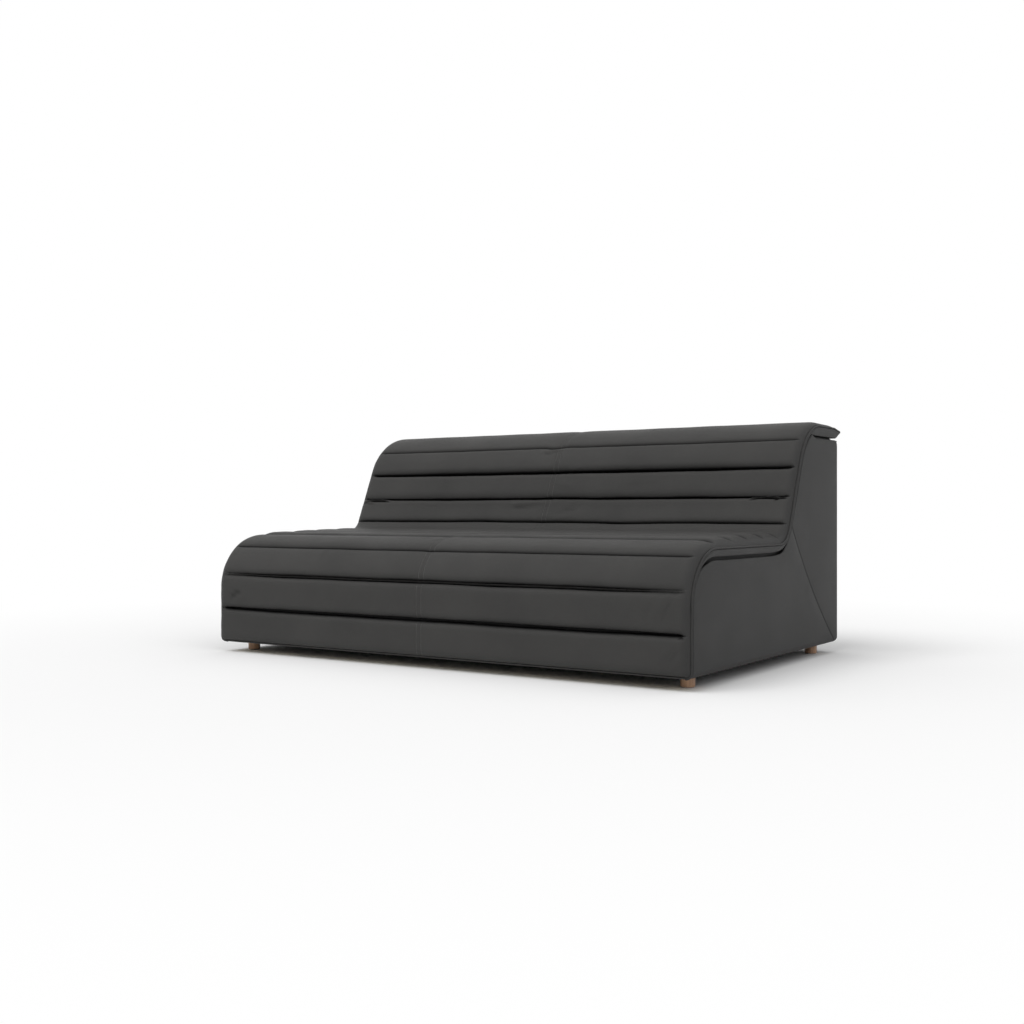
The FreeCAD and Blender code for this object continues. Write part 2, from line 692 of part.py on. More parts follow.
post_height = frame_top - upright - under
post_count = int(cell("post_count"))
posts = []
for number in range(post_count):
    middle = panel_inner * (2 * number + 1 - post_count) / post_count
    posts.append(Part.makeBox(cell("post_width"), upright, post_height,
                              place(middle - cell("post_width") / 2, rear_in - 2 * upright, under)))
solid_piece("rear_posts", Part.makeCompound(posts))

block_low = under + cell("stretcher_thickness") + cell("nut_flange_thickness") + gap
leg = cell("block_leg")
blocks = []
for side in (1, -1):
    for y, back in ((front_board_back, 1), (rear_in - upright, -1)):
        corners = [(side * panel_inner, y), (side * (panel_inner - leg), y),
                   (side * panel_inner, y + back * leg)]
        rim = [place(*spot, block_low) for spot in corners + corners[:1]]
        face = Part.Face(closed(straight(*rim)))
        blocks.append(face.extrude(vector(0, 0, cell("block_height"))))
solid_piece("corner_blocks", Part.makeCompound(blocks))

# Seat springs: sinuous wire from the front spring rail to the rear one, each end held in a
# folded clip on the rail.

rail_half = cell("rail_thickness") / 2
first_leg = front_board_back + rail_half
last_leg = rear_rail_front + rail_half
leg_count = round((last_leg - first_leg) / cell("spring_pitch")) + 1
pitch = (last_leg - first_leg) / (leg_count - 1)
wire_radius = cell("wire_diameter") / 2
wire_z = deck + cell("clip_thickness") + slot_height / 2


def spring(across):
    """One sinuous spring: straight legs across, joined by half turns."""
    reach = cell("spring_width") / 2 - wire_radius - pitch / 2
    path = []
    for number in range(leg_count):
        way = 1 if number % 2 == 0 else -1
        y = first_leg + number * pitch
        leave = place(across + way * reach, y, wire_z)
        path.append(Part.makeLine(place(across - way * reach, y, wire_z), leave))
        if number < leg_count - 1:
            turn = place(across + way * (reach + pitch / 2), y + pitch / 2, wire_z)
            path.append(Part.Arc(leave, turn, place(across + way * reach, y + pitch, wire_z)).toShape())
    spine = Part.Wire(path)
    ring = Part.Wire(Part.Circle(spine.Vertexes[0].Point, vector(1, 0, 0), wire_radius).toShape())
    return spine.makePipeShell([ring], True, False)


def clip(across, y):
    """A strip folded over the spring's end leg, open towards neither end of the leg."""
    wide = cell("spring_width") / 2 - pitch / 2
    deep = slot_height + 2 * cell("clip_lip")
    outer = Part.makeBox(wide, deep, clip_top - deck, place(across - wide / 2, y - deep / 2, deck))
    slot = Part.makeBox(2 * wide, slot_height, slot_height,
                        place(across - wide, y - slot_height / 2, deck + cell("clip_thickness")))
    return outer.cut(slot)


spring_count = int(cell("spring_count"))
spring_places = [panel_inner * (2 * number + 1 - spring_count) / spring_count
                 for number in range(spring_count)]
one_spring = spring(0.0)
solid_piece("seat_springs", Part.makeCompound(
    [one_spring.translated(vector(across, 0, 0)) for across in spring_places]))
solid_piece("spring_clips", Part.makeCompound(
    [clip(across, y) for across in spring_places for y in (first_leg, last_leg)]))

board("spring_cloth",
      (f"{PANEL_SPAN} - 2 * Dims.soft_gap",
       "Dims.seat_depth + Dims.rear_rail_setback + Dims.rail_thickness - Dims.quilt_edge_thickness"
       " - Dims.foam_wrap_thickness - 2 * Dims.soft_gap - Dims.ply_thickness",
       "Dims.cloth_thickness"),
      place(-core_end, front_board_back, cloth_low))

# Back webbing: upright straps pulled tight from the lower webbing rail to the upper one.

web_long = web_high + cell("web_rail_height") - web_low
web_count = int(cell("web_count"))
web_turn = FreeCAD.Rotation(vector(1, 0, 0), -lean)
straps = []
for number in range(web_count):
    middle = panel_inner * (2 * number + 1 - web_count) / web_count
    strap = Part.makeBox(cell("web_width"), cell("web_thickness"), web_long)
    strap.Placement = FreeCAD.Placement(
        place(middle - cell("web_width") / 2, *outline.spot(web_low, -frame_in)), web_turn)
    straps.append(strap)
solid_piece("back_webbing", Part.makeCompound(straps))

# Head board: slants from the back's straight top to the top board's front edge.

head_blank = board("head_board", (PANEL_SPAN, "Dims.ply_thickness", head_length),
                   place(-panel_inner, *head_one), -head_turn, kept=False)
under_top = Part.makeBox(4 * half_width, 2 * rear, 2 * rear,
                         place(-2 * half_width, flap_start, frame_top - 2 * rear))
head_tool = solid_piece("head_board_bevel", under_top, kept=False)
drilled("head_board", head_blank, head_tool)

# Under cloth: stapled under the frame, with holes for the feet.

cloth_blank = board("under_cloth",
                    ("Dims.sofa_width - 2 * (Dims.side_recess + Dims.cover_thickness"
                     " + 2 * Dims.soft_gap)",
                     "Dims.body_depth - Dims.cover_thickness - 4 * Dims.soft_gap"
                     " - Dims.quilt_edge_thickness - Dims.foam_wrap_thickness",
                     "Dims.cloth_thickness"),
                    place(-foam_end + gap, frame_in + gap, under - gap - cell("cloth_thickness")),
                    kept=False)
foot_holes = [Part.makeCylinder(cell("foot_diameter") / 2 + gap, cell("foot_rise"),
                                place(across, y, under - cell("foot_rise")))
              for across, y in foot_spots.values()]
foot_tool = solid_piece("foot_holes", Part.makeCompound(foot_holes), kept=False)
drilled("under_cloth", cloth_blank, foot_tool)

# Feet: four turned wooden feet on hanger bolts in T-nuts, with a felt glide under each.

for name, (across, y) in foot_spots.items():
    body = doc.addObject("PartDesign::Body", f"foot_{name}")
    body.Label = f"foot_{name}"
    plane = [one for one in body.Origin.OriginFeatures if one.Role == "XY_Plane"][0]
    round_sketch = body.newObject("Sketcher::SketchObject", f"foot_{name}_round")
    round_sketch.AttachmentSupport = [(plane, "")]
    round_sketch.MapMode = "FlatFace"
    round_sketch.addGeometry(Part.Circle(vector(0, 0, 0), vector(0, 0, 1), cell("foot_diameter") / 2))
    round_sketch.addConstraint(Sketcher.Constraint("Coincident", 0, 3, -1, 1))
    round_sketch.addConstraint(Sketcher.Constraint("Diameter", 0, cell("foot_diameter")))
    round_sketch.setExpression("Constraints[1]", "Dims.foot_diameter")
    pad = body.newObject("PartDesign::Pad", f"foot_{name}_turning")
    pad.Profile = round_sketch
    pad.setExpression("Length", "Dims.foot_rise + Dims.cover_turn - Dims.glide_thickness")
    bore_sketch = body.newObject("Sketcher::SketchObject", f"foot_{name}_bore_round")
    bore_sketch.AttachmentSupport = [(plane, "")]
    bore_sketch.MapMode = "FlatFace"
    bore_sketch.setExpression("AttachmentOffset.Base.z",
                              "Dims.foot_rise + Dims.cover_turn - Dims.glide_thickness")
    bore_sketch.addGeometry(Part.Circle(vector(0, 0, 0), vector(0, 0, 1), cell("bolt_diameter") / 2))
    bore_sketch.addConstraint(Sketcher.Constraint("Coincident", 0, 3, -1, 1))
    bore_sketch.addConstraint(Sketcher.Constraint("Diameter", 0, cell("bolt_diameter")))
    bore_sketch.setExpression("Constraints[1]", "Dims.bolt_diameter + 2 * Dims.turn_gap")
    bore = body.newObject("PartDesign::Pocket", f"foot_{name}_bore")
    bore.Profile = bore_sketch
    bore.setExpression("Length", "Dims.bolt_in_foot + Dims.turn_gap")
    doc.recompute()
    lower_edge = [f"Edge{number}" for number, edge in enumerate(bore.Shape.Edges, start=1)
                  if edge.BoundBox.ZMax < 0.01 and len(edge.Vertexes) == 1]
    chamfer = body.newObject("PartDesign::Chamfer", f"foot_{name}_chamfer")
    chamfer.Base = (bore, lower_edge)
    chamfer.setExpression("Size", "Dims.foot_chamfer")
    body.Placement = FreeCAD.Placement(vector(across, y - mid_y, cell("glide_thickness")),
                                       FreeCAD.Rotation())
    subparts.append(body)

bolt_radius = cell("bolt_diameter") / 2
bolt_height = cell("bolt_in_foot") + cell("stretcher_thickness")
nut_bore = bolt_radius + cell("turn_gap")
nut_low = cell("stretcher_thickness") - cell("nut_barrel_length")
bolts, nuts, glides = [], [], []
for across, y in foot_spots.values():
    bolts.append(Part.makeCylinder(bolt_radius, bolt_height,
                                   place(across, y, under - cell("bolt_in_foot"))))
    flange = Part.makeCylinder(cell("nut_flange") / 2, cell("nut_flange_thickness"),
                               place(across, y, under + cell("stretcher_thickness")))
    sleeve = Part.makeCylinder(barrel, cell("nut_barrel_length"),
                               place(across, y, under + nut_low))
    hole = Part.makeCylinder(nut_bore, 2 * bolt_height, place(across, y, -bolt_height))
    nuts.append(flange.fuse(sleeve).cut(hole).removeSplitter())
    glides.append(Part.makeCylinder(cell("foot_diameter") / 2 - cell("foot_chamfer"),
                                    cell("glide_thickness"), place(across, y, -cell("foot_rise"))))
solid_piece("hanger_bolts", Part.makeCompound(bolts))
solid_piece("foot_nuts", Part.makeCompound(nuts))
solid_piece("felt_glides", Part.makeCompound(glides))

doc.recompute()
for one in doc.Objects:
    if "Invalid" in one.State or "Error" in one.State:
        raise RuntimeError(f"{one.Label} did not recompute: {one.State}")
os.makedirs("parts", exist_ok=True)
for piece in subparts:
    shape = piece.Shape
    if shape.isNull() or not shape.isValid() or not shape.Solids:
        raise RuntimeError(f"{piece.Label} is not a valid solid")
for piece in subparts:
    piece.Shape.exportStep(f"parts/{piece.Label}.step")
print(len(subparts), "pieces")
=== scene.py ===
import bpy
import math
import numpy as np
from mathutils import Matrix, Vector, noise
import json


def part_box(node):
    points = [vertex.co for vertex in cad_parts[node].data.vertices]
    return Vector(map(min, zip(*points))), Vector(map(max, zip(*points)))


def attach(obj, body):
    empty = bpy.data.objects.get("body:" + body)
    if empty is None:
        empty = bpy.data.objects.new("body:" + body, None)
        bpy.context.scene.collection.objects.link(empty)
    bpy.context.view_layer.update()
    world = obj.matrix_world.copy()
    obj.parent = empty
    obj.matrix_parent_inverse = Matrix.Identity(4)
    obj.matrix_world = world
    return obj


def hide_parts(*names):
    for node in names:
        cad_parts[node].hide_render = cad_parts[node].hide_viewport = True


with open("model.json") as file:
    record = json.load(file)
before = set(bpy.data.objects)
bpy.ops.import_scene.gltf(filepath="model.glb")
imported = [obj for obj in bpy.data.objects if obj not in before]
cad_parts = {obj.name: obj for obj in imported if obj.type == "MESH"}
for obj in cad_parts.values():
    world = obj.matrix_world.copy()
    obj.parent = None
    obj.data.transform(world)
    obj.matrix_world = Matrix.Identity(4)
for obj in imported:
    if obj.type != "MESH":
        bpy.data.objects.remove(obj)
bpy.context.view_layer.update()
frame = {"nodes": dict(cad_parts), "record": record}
scene = bpy.context.scene
bpy.ops.object.select_all(action="DESELECT")

# The studio: a seamless white floor and backdrop, soft light mostly from above, a wide lamp
# high in front and a faint one on the right, and a level camera below the back's height.

CAMERA_PLACE = (2.2462, -3.4710, 0.474)
CAMERA_AZIMUTH = 33.70
CAMERA_LENS = 42.68
bpy.ops.object.camera_add(location=CAMERA_PLACE,
                          rotation=(math.radians(90), 0, math.radians(CAMERA_AZIMUTH)))
camera = bpy.context.object
camera.data.lens = CAMERA_LENS
scene.camera = camera
scene.view_settings.view_transform = "Standard"


def node(tree, kind, settings=None, **inputs):
    """A node with its plain settings and its inputs, each a value or the output feeding it."""
    made = tree.nodes.new(kind)
    for name, value in (settings or {}).items():
        setattr(made, name, value)
    for name, value in inputs.items():
        socket = made.inputs[int(name[1:]) if name[0] == "n" and name[1:].isdigit()
                             else name.replace("_", " ")]
        if isinstance(value, bpy.types.NodeSocket):
            tree.links.new(value, socket)
        else:
            socket.default_value = value
    return made


def sums(tree, operation, one, two):
    """The output of a Math node."""
    return node(tree, "ShaderNodeMath", {"operation": operation}, n0=one, n1=two).outputs[0]


def backdrop_rays(tree):
    """1 for the rays that see the backdrop: straight from the camera, mirrored or let through."""
    rays = node(tree, "ShaderNodeLightPath")
    mirrored = sums(tree, "MAXIMUM", rays.outputs["Is Glossy Ray"],
                    rays.outputs["Is Transmission Ray"])
    return sums(tree, "MAXIMUM", rays.outputs["Is Camera Ray"], mirrored)


def new_look(name):
    """A new material, its node tree, its shader and the place on the piece in metres."""
    made = bpy.data.materials.new(name)
    made.use_nodes = True
    tree = made.node_tree
    place = node(tree, "ShaderNodeTexCoord").outputs["Object"]
    return made, tree, tree.nodes["Principled BSDF"], place


ROOM_LOW = 0.26
ROOM_HIGH = 0.86
world = bpy.data.worlds.new("studio")
scene.world = world
world.use_nodes = True
tree = world.node_tree
room = tree.nodes["Background"]
room.inputs["Color"].default_value = (1, 1, 1, 1)
way = node(tree, "ShaderNodeTexCoord").outputs["Generated"]
climb = node(tree, "ShaderNodeSeparateXYZ", Vector=way).outputs["Z"]
glow = node(tree, "ShaderNodeMapRange", Value=climb, To_Min=ROOM_LOW, To_Max=ROOM_HIGH)
strength = node(tree, "ShaderNodeMix", n0=backdrop_rays(tree), n2=glow.outputs[0], n3=1.0)
tree.links.new(strength.outputs[0], room.inputs["Strength"])

LAMPS = [((-0.9, -2.2, 3.4), 40, 1.25), ((3.1, -1.0, 2.2), 45, 0.42)]
for number, (place, spread, power) in enumerate(LAMPS):
    bpy.ops.object.light_add(type="SUN", location=place)
    lamp = bpy.context.object
    lamp.name = f"lamp_{number + 1}"
    lamp.data.angle = math.radians(spread)
    lamp.data.energy = power
    lamp.rotation_euler = (-Vector(place)).to_track_quat("-Z", "Y").to_euler()

FLOOR_SIZE = 60
FLOOR_WHITE = 0.90
WHITE_FROM = 1.25
WHITE_BEYOND = 3.2
bpy.ops.mesh.primitive_plane_add(size=FLOOR_SIZE)
floor = bpy.context.object
floor.name = "floor"
paper, tree, matt, place = new_look("white paper floor")
matt.inputs["Base Color"].default_value = (FLOOR_WHITE, FLOOR_WHITE, FLOOR_WHITE, 1)
matt.inputs["Roughness"].default_value = 1.0
matt.inputs["Specular IOR Level"].default_value = 0.0
away = node(tree, "ShaderNodeVectorMath", {"operation": "LENGTH"}, n0=place).outputs["Value"]
fade = node(tree, "ShaderNodeMapRange", {"interpolation_type": "SMOOTHSTEP"}, Value=away,
            From_Min=WHITE_FROM, From_Max=WHITE_BEYOND)
bright = node(tree, "ShaderNodeEmission", Color=(1, 1, 1, 1), Strength=1.0)
cover = node(tree, "ShaderNodeMixShader", n0=sums(tree, "MULTIPLY", backdrop_rays(tree),
                                                   fade.outputs[0]))
tree.links.new(matt.outputs[0], cover.inputs[1])
tree.links.new(bright.outputs[0], cover.inputs[2])
tree.links.new(cover.outputs[0], tree.nodes["Material Output"].inputs["Surface"])
floor.data.materials.append(paper)

# The edge seam, the line that every leather piece at the sofa's ends is cut and sewn to: up the
# front, round the front roll, along the seat, up the leaning back and over to the flap's tip,
# then under the flap to where it meets the body.

welt_low, welt_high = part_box("edge_welt_right")
roll_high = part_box("top_roll_quilt_right")[1]
rear_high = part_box("rear_cover")[1]
REAR_BEYOND = 0.0110
TIP_BEYOND = 0.0210
BROW_BEYOND = 0.012
FRONT = welt_low.y
LOW = welt_low.z
TOP = welt_high.z
REAR = rear_high.y + REAR_BEYOND
TIP = roll_high.y + TIP_BEYOND
SEAT_RISE = 0.341
SEAT_DEPTH = 0.683
BACK_RECLINE = math.radians(23.2)
TIP_DROP = 0.011
FLAP_THICKNESS = 0.0335
FLAP_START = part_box("top_board")[0].y
BROW = welt_high.y + BROW_BEYOND
NOSE = 0.046
UNDER_TURN = 0.024
SEAT = LOW + SEAT_RISE
HEAD = FRONT + SEAT_DEPTH + (TOP - SEAT) * math.tan(BACK_RECLINE)
FLAP_UNDER = TOP - FLAP_THICKNESS


class Path:
    """A line through corners (y, z, radius), rounded by tangent arcs, measured along its length."""

    def __init__(self, corners, start=0.0):
        self.runs = []
        self.length = start
        points = [np.array(corner[:2], float) for corner in corners]
        here = points[0]
        for before, corner, after, radius in zip(points, points[1:], points[2:],
                                                 [one[2] for one in corners[1:-1]]):
            one = (corner - before) / np.linalg.norm(corner - before)
            two = (after - corner) / np.linalg.norm(after - corner)
            turn = math.atan2(one[0] * two[1] - one[1] * two[0], one @ two)
            reach = radius * math.tan(abs(turn) / 2)
            enter = corner - one * reach
            side = math.copysign(1, turn)
            centre = enter + side * radius * np.array((-one[1], one[0]))
            self.line(here, enter)
            first = math.atan2(enter[1] - centre[1], enter[0] - centre[0])
            self.runs.append(("arc", centre, radius, first, side, self.length,
                              self.length + radius * abs(turn)))
            self.length += radius * abs(turn)
            here = corner + two * reach
        self.line(here, points[-1])

    def line(self, start, end):
        """Adds a straight run."""
        length = np.linalg.norm(end - start)
        self.runs.append(("line", start, (end - start) / length, 0, 0, self.length,
                          self.length + length))
        self.length += length

    def at(self, along, out=0.0):
        """Arrays y and z this far along the path and this far out on its left."""
        along, out = np.broadcast_arrays(np.asarray(along, float), np.asarray(out, float))
        y = np.zeros(along.shape)
        z = np.zeros(along.shape)
        for number, (kind, spot, size, first, side, start, end) in enumerate(self.runs):
            here = (along >= start if number else along > -1) & (
                along < end if number < len(self.runs) - 1 else along < 9)
            went = along[here] - start
            if kind == "line":
                y[here] = spot[0] + went * size[0] - out[here] * size[1]
                z[here] = spot[1] + went * size[1] + out[here] * size[0]
            else:
                angle = first + side * went / size
                y[here] = spot[0] + (size - side * out[here]) * np.cos(angle)
                z[here] = spot[1] + (size - side * out[here]) * np.sin(angle)
        return y, z


HEM_RADIUS = 0.008
FRONT_ROLL_RADIUS = 0.155
CREASE_RADIUS = 0.096
TOP_ROLL_RADIUS = 0.198
BROW_RADIUS = 0.10
TIP_RADIUS = 0.004
NOSE_RADIUS = 0.014
BROW_ARC = 9
TIP_ARC = 11
hem_length = UNDER_TURN - HEM_RADIUS + HEM_RADIUS * math.pi / 2 - HEM_RADIUS
seam = Path([(FRONT + UNDER_TURN, LOW), (FRONT, LOW, HEM_RADIUS),
             (FRONT, SEAT, FRONT_ROLL_RADIUS), (FRONT + SEAT_DEPTH, SEAT, CREASE_RADIUS),
             (HEAD, TOP, TOP_ROLL_RADIUS), (BROW, TOP, BROW_RADIUS),
             (TIP, TOP - TIP_DROP, TIP_RADIUS), (TIP - NOSE, FLAP_UNDER, NOSE_RADIUS),
             (FLAP_START, FLAP_UNDER)], start=-hem_length)
ROLL_END = seam.runs[BROW_ARC][-1]
TIP_ALONG = sum(seam.runs[TIP_ARC][-2:]) / 2

# Leather: a pebbled grain pressed into a semi-matt charcoal hide, with faint creases, a cloudy
# colour from the drum, crests painted paler, partly as wear and partly as painted highlight, and
# painted shade in the tucks.


def group_socket(group, name, way, kind="NodeSocketFloat", value=None):
    """A named input or output of a node group."""
    socket = group.interface.new_socket(name=name, in_out=way, socket_type=kind)
    if value is not None:
        socket.default_value = value


def shared(tree, one, share, two):
    """A share of one output added to the rest of another."""
    return sums(tree, "ADD", sums(tree, "MULTIPLY", one, share),
                sums(tree, "MULTIPLY", two, 1 - share))


def blend(tree, share, one, two):
    """The colour between two, each a colour or the output that feeds it."""
    mixed = node(tree, "ShaderNodeMix", {"data_type": "RGBA"}, Factor=share, n6=one, n7=two)
    return mixed.outputs[2]


def feed_bump(tree, shader, height, strength, distance):
    """Feeds a height to the shader's normal."""
    made = node(tree, "ShaderNodeBump", Height=height, Strength=strength, Distance=distance)
    tree.links.new(made.outputs[0], shader.inputs["Normal"])


grain = bpy.data.node_groups.new("leather grain", "ShaderNodeTree")
group_socket(grain, "Place", "INPUT", "NodeSocketVector")
group_socket(grain, "Pebble size", "INPUT", value=0.0016)
group_socket(grain, "Crease depth", "INPUT", value=0.5)
group_socket(grain, "Tone", "OUTPUT")
group_socket(grain, "Shine", "OUTPUT")
group_socket(grain, "Height", "OUTPUT")
enter = grain.nodes.new("NodeGroupInput")
leave = grain.nodes.new("NodeGroupOutput")
per_metre = sums(grain, "DIVIDE", 1.0, enter.outputs["Pebble size"])
wander = node(grain, "ShaderNodeTexNoise", Vector=enter.outputs["Place"], Scale=160.0, Detail=2.0)
shifted = node(grain, "ShaderNodeVectorMath", {"operation": "MULTIPLY_ADD"},
               n0=wander.outputs["Color"], n1=(0.0012, 0.0012, 0.0012), n2=enter.outputs["Place"])
pebbles = node(grain, "ShaderNodeTexVoronoi", {"feature": "DISTANCE_TO_EDGE"},
               Vector=shifted.outputs[0], Scale=per_metre)
rounded = node(grain, "ShaderNodeMapRange", {"interpolation_type": "SMOOTHSTEP"},
               Value=pebbles.outputs["Distance"], From_Min=0.0, From_Max=0.28)
pores = node(grain, "ShaderNodeTexNoise", Vector=enter.outputs["Place"], Scale=2600.0, Detail=2.0)
creases = node(grain, "ShaderNodeTexNoise", {"noise_type": "RIDGED_MULTIFRACTAL"},
               Vector=enter.outputs["Place"], Scale=26.0, Detail=5.0, Roughness=0.62)
crease_line = node(grain, "ShaderNodeMapRange", {"interpolation_type": "SMOOTHSTEP"},
                   Value=creases.outputs["Fac"], From_Min=0.45, From_Max=1.5)
cloud = node(grain, "ShaderNodeTexNoise", Vector=enter.outputs["Place"], Scale=5.0, Detail=5.0,
             Roughness=0.55)
fleck = node(grain, "ShaderNodeTexNoise", Vector=enter.outputs["Place"], Scale=420.0, Detail=2.0)
crease_depth = sums(grain, "MULTIPLY", crease_line.outputs[0], enter.outputs["Crease depth"])
skin = shared(grain, rounded.outputs[0], 0.75, pores.outputs["Fac"])
tone = shared(grain, cloud.outputs["Fac"], 0.75, fleck.outputs["Fac"])
shine = shared(grain, rounded.outputs[0], 0.4, cloud.outputs["Fac"])
grain.links.new(tone, leave.inputs["Tone"])
grain.links.new(shine, leave.inputs["Shine"])
grain.links.new(sums(grain, "SUBTRACT", skin, crease_depth), leave.inputs["Height"])

HIDE_DARK = (0.0310, 0.0308, 0.0306, 1)
HIDE_PALE = (0.0470, 0.0464, 0.0456, 1)
# Paler, warmer colour painted on the crests: partly wear, partly painted highlight of the light
# from above.
HIDE_RUBBED_AND_LIT = (0.0640, 0.0622, 0.0588, 1)
# Near-black painted shade for the depths of the grooves' tucks and the band's hidden tail.
HIDE_PAINTED_SHADE = (0.0040, 0.0040, 0.0040, 1)
HIDE_RUB_AND_HIGHLIGHT = 0.7
HIDE_SPECULAR = 0.11


def leather(name, pebble=0.0016, crease=0.5, depth=0.00035, dull=0.58, glossy=0.44):
    """A hide: the grain group with its own pebble size, its crests painted paler and warmer, partly
    as wear and partly as painted highlight of the light from above, and painted shade, near black,
    deep in the tucks."""
    made, tree, shader, place = new_look(name)
    hide = node(tree, "ShaderNodeGroup", {"node_tree": grain}, Place=place, Pebble_size=pebble,
                Crease_depth=crease)
    crest = node(tree, "ShaderNodeAttribute", {"attribute_name": "crest"}).outputs["Fac"]
    # The tuck attribute says where painted shade darkens the hide: deep in the grooves and on the
    # band's tucked tail.
    tuck_shade = node(tree, "ShaderNodeAttribute", {"attribute_name": "tuck_shade"}).outputs["Fac"]
    # Crests painted paler: partly rubbed wear, partly painted highlight where the light from above
    # falls.
    rub_and_highlight = sums(tree, "MULTIPLY", crest, sums(tree, "MULTIPLY", hide.outputs["Shine"], HIDE_RUB_AND_HIGHLIGHT))
    dyed = blend(tree, hide.outputs["Tone"], HIDE_DARK, HIDE_PALE)
    worn_and_highlit = blend(tree, rub_and_highlight, dyed, HIDE_RUBBED_AND_LIT)
    tree.links.new(blend(tree, tuck_shade, worn_and_highlit, HIDE_PAINTED_SHADE), shader.inputs["Base Color"])
    rough = node(tree, "ShaderNodeMapRange", Value=hide.outputs["Shine"], From_Min=0.2,
                 From_Max=0.9, To_Min=dull, To_Max=glossy)
    tree.links.new(rough.outputs[0], shader.inputs["Roughness"])
    feed_bump(tree, shader, hide.outputs["Height"], 0.55, depth)
    shader.inputs["Specular IOR Level"].default_value = HIDE_SPECULAR
    return made


quilt_leather = leather("charcoal quilt leather")
cover_leather = leather("charcoal cover leather", crease=0.35, dull=0.60, glossy=0.48)
welt_leather = leather("charcoal welt leather", pebble=0.0012, crease=0.2, depth=0.0002)

# Channel-quilted pads, right and left half: one leather sheet each, sewn down in twelve grooves
# over padding, blown out between them, and drawn in along the seam near the middle. The sheet
# starts stapled under the front and ends under the flap.

GROOVES = np.array([0.1145, 0.2285, 0.331, 0.440, 0.561, 0.674, 0.786, 0.897, 1.005, 1.099,
                    1.2015, 1.3025])
GROOVE_DEPTHS = np.array([0.030, 0.019, 0.014, 0.018, 0.018, 0.018, 0.018, 0.017, 0.016, 0.024,
                          0.029, 0.014])
GROOVE_SLITS = np.array([0.0036, 0.0042, 0.0008, 0.0005, 0.0005, 0.0005, 0.0005, 0.0005, 0.0008,
                         0.0022, 0.0036, 0.0008])
LIPS_ABOVE = np.array([0.024, 0.020, 0.020, 0.040, 0.040, 0.040, 0.040, 0.036, 0.024, 0.036,
                       0.026, 0.020])
LIPS_BELOW = np.array([0.018, 0.018, 0.030, 0.040, 0.040, 0.040, 0.040, 0.040, 0.020, 0.018,
                       0.018, 0.016])
GROOVE_DROOPS = np.array([0.0030, 0.0010, 0.0005, 0, 0, 0, 0, 0, 0.0020, 0.0070, 0.0050, 0.0015])
# How far below the lips each groove's painted shade starts; the next two set over what depth it
# grows and its most.
TUCK_SHADE_FROM = np.array([0.007, 0.009, 0.006, 0.0006, 0.0006, 0.0006, 0.0006, 0.0006, 0.004, 0.005,
                      0.007, 0.006])
TUCK_SHADE_DEPTH = 0.009
STRIP_GROOVE = 1
STRIP_RISE = 0.015
STRIP_WIDTH = 0.0021
SWELL_ALONG = [0.0, 0.112, 0.24, 0.30, 0.354, 0.41, 0.47, 0.56, 0.66, 0.75, 0.86, 0.93, 1.0065,
               1.06, 1.20, 1.45, 1.57, 1.60, TIP_ALONG, seam.length]
SWELL = [0.012, 0.012, 0.013, 0.018, 0.022, 0.022, 0.029, 0.031, 0.0345, 0.036, 0.038, 0.035,
         0.021, 0.016, 0.015, 0.014, 0.012, 0.008, 0.0, 0.0]
END_ROUND_ALONG = [0.0, 0.28, 0.42, 0.90, 1.02, 1.8]
END_ROUND = [0.026, 0.030, 0.052, 0.052, 0.034, 0.034]
END_FADE_ALONG = [0.0, 0.33, 0.42, 0.92, 1.02, 1.06, 1.8]
END_FADE = [0.006, 0.009, 0.003, 0.003, 0.002, 0.006, 0.007]
END_TAPER = 0.026
QUILT_END = roll_high.x
SEAM_PLACE = -0.020
SEAM_GAP = 0.00015
QUILT_THICKNESS = 0.024
CAP_END = 0.8628
CORNER = 0.019
CORNER_REACH = 0.10
STITCH_OUT = 0.009
HEM_BAND = 0.0066
HEM_ROUND = 0.026
TIP_ROUND = 0.05
SEAM_DRAW = 0.0012
SEAM_DRAW_WIDTH = 0.022
SEAM_SLIT = 0.0003
SEAM_SLIT_WIDTH = 0.0016
STITCH_DRAW = 0.0010
STITCH_DRAW_WIDTH = 0.0014
PUCKER = 0.0004
PUCKER_PITCH = 0.0125
PUCKER_REACH = 0.011
LUMPS = 0.0012
CREST_DROP = 0.012
TUCK_SHADE_MOST = 0.9


def smooth(value, low, high):
    """0 below low, 1 above high and an even curve between."""
    share = np.clip((value - low) / (high - low), 0, 1)
    return share * share * (3 - 2 * share)


def dome(share, power=2.2):
    """A rounded rise from 0 to 1."""
    return (1 - (1 - np.clip(share, 0, 1)) ** power) ** (1 / power)


def bell(share):
    """1 at 0, and a rounded fall to nothing on both sides."""
    return np.exp(-share ** 2)


def corner_of(height):
    """How far the ends draw in near the lower edge, at a height above it, round the corner."""
    low = np.clip(CORNER - height, 0, CORNER)
    return CORNER - np.sqrt(CORNER ** 2 - low ** 2)


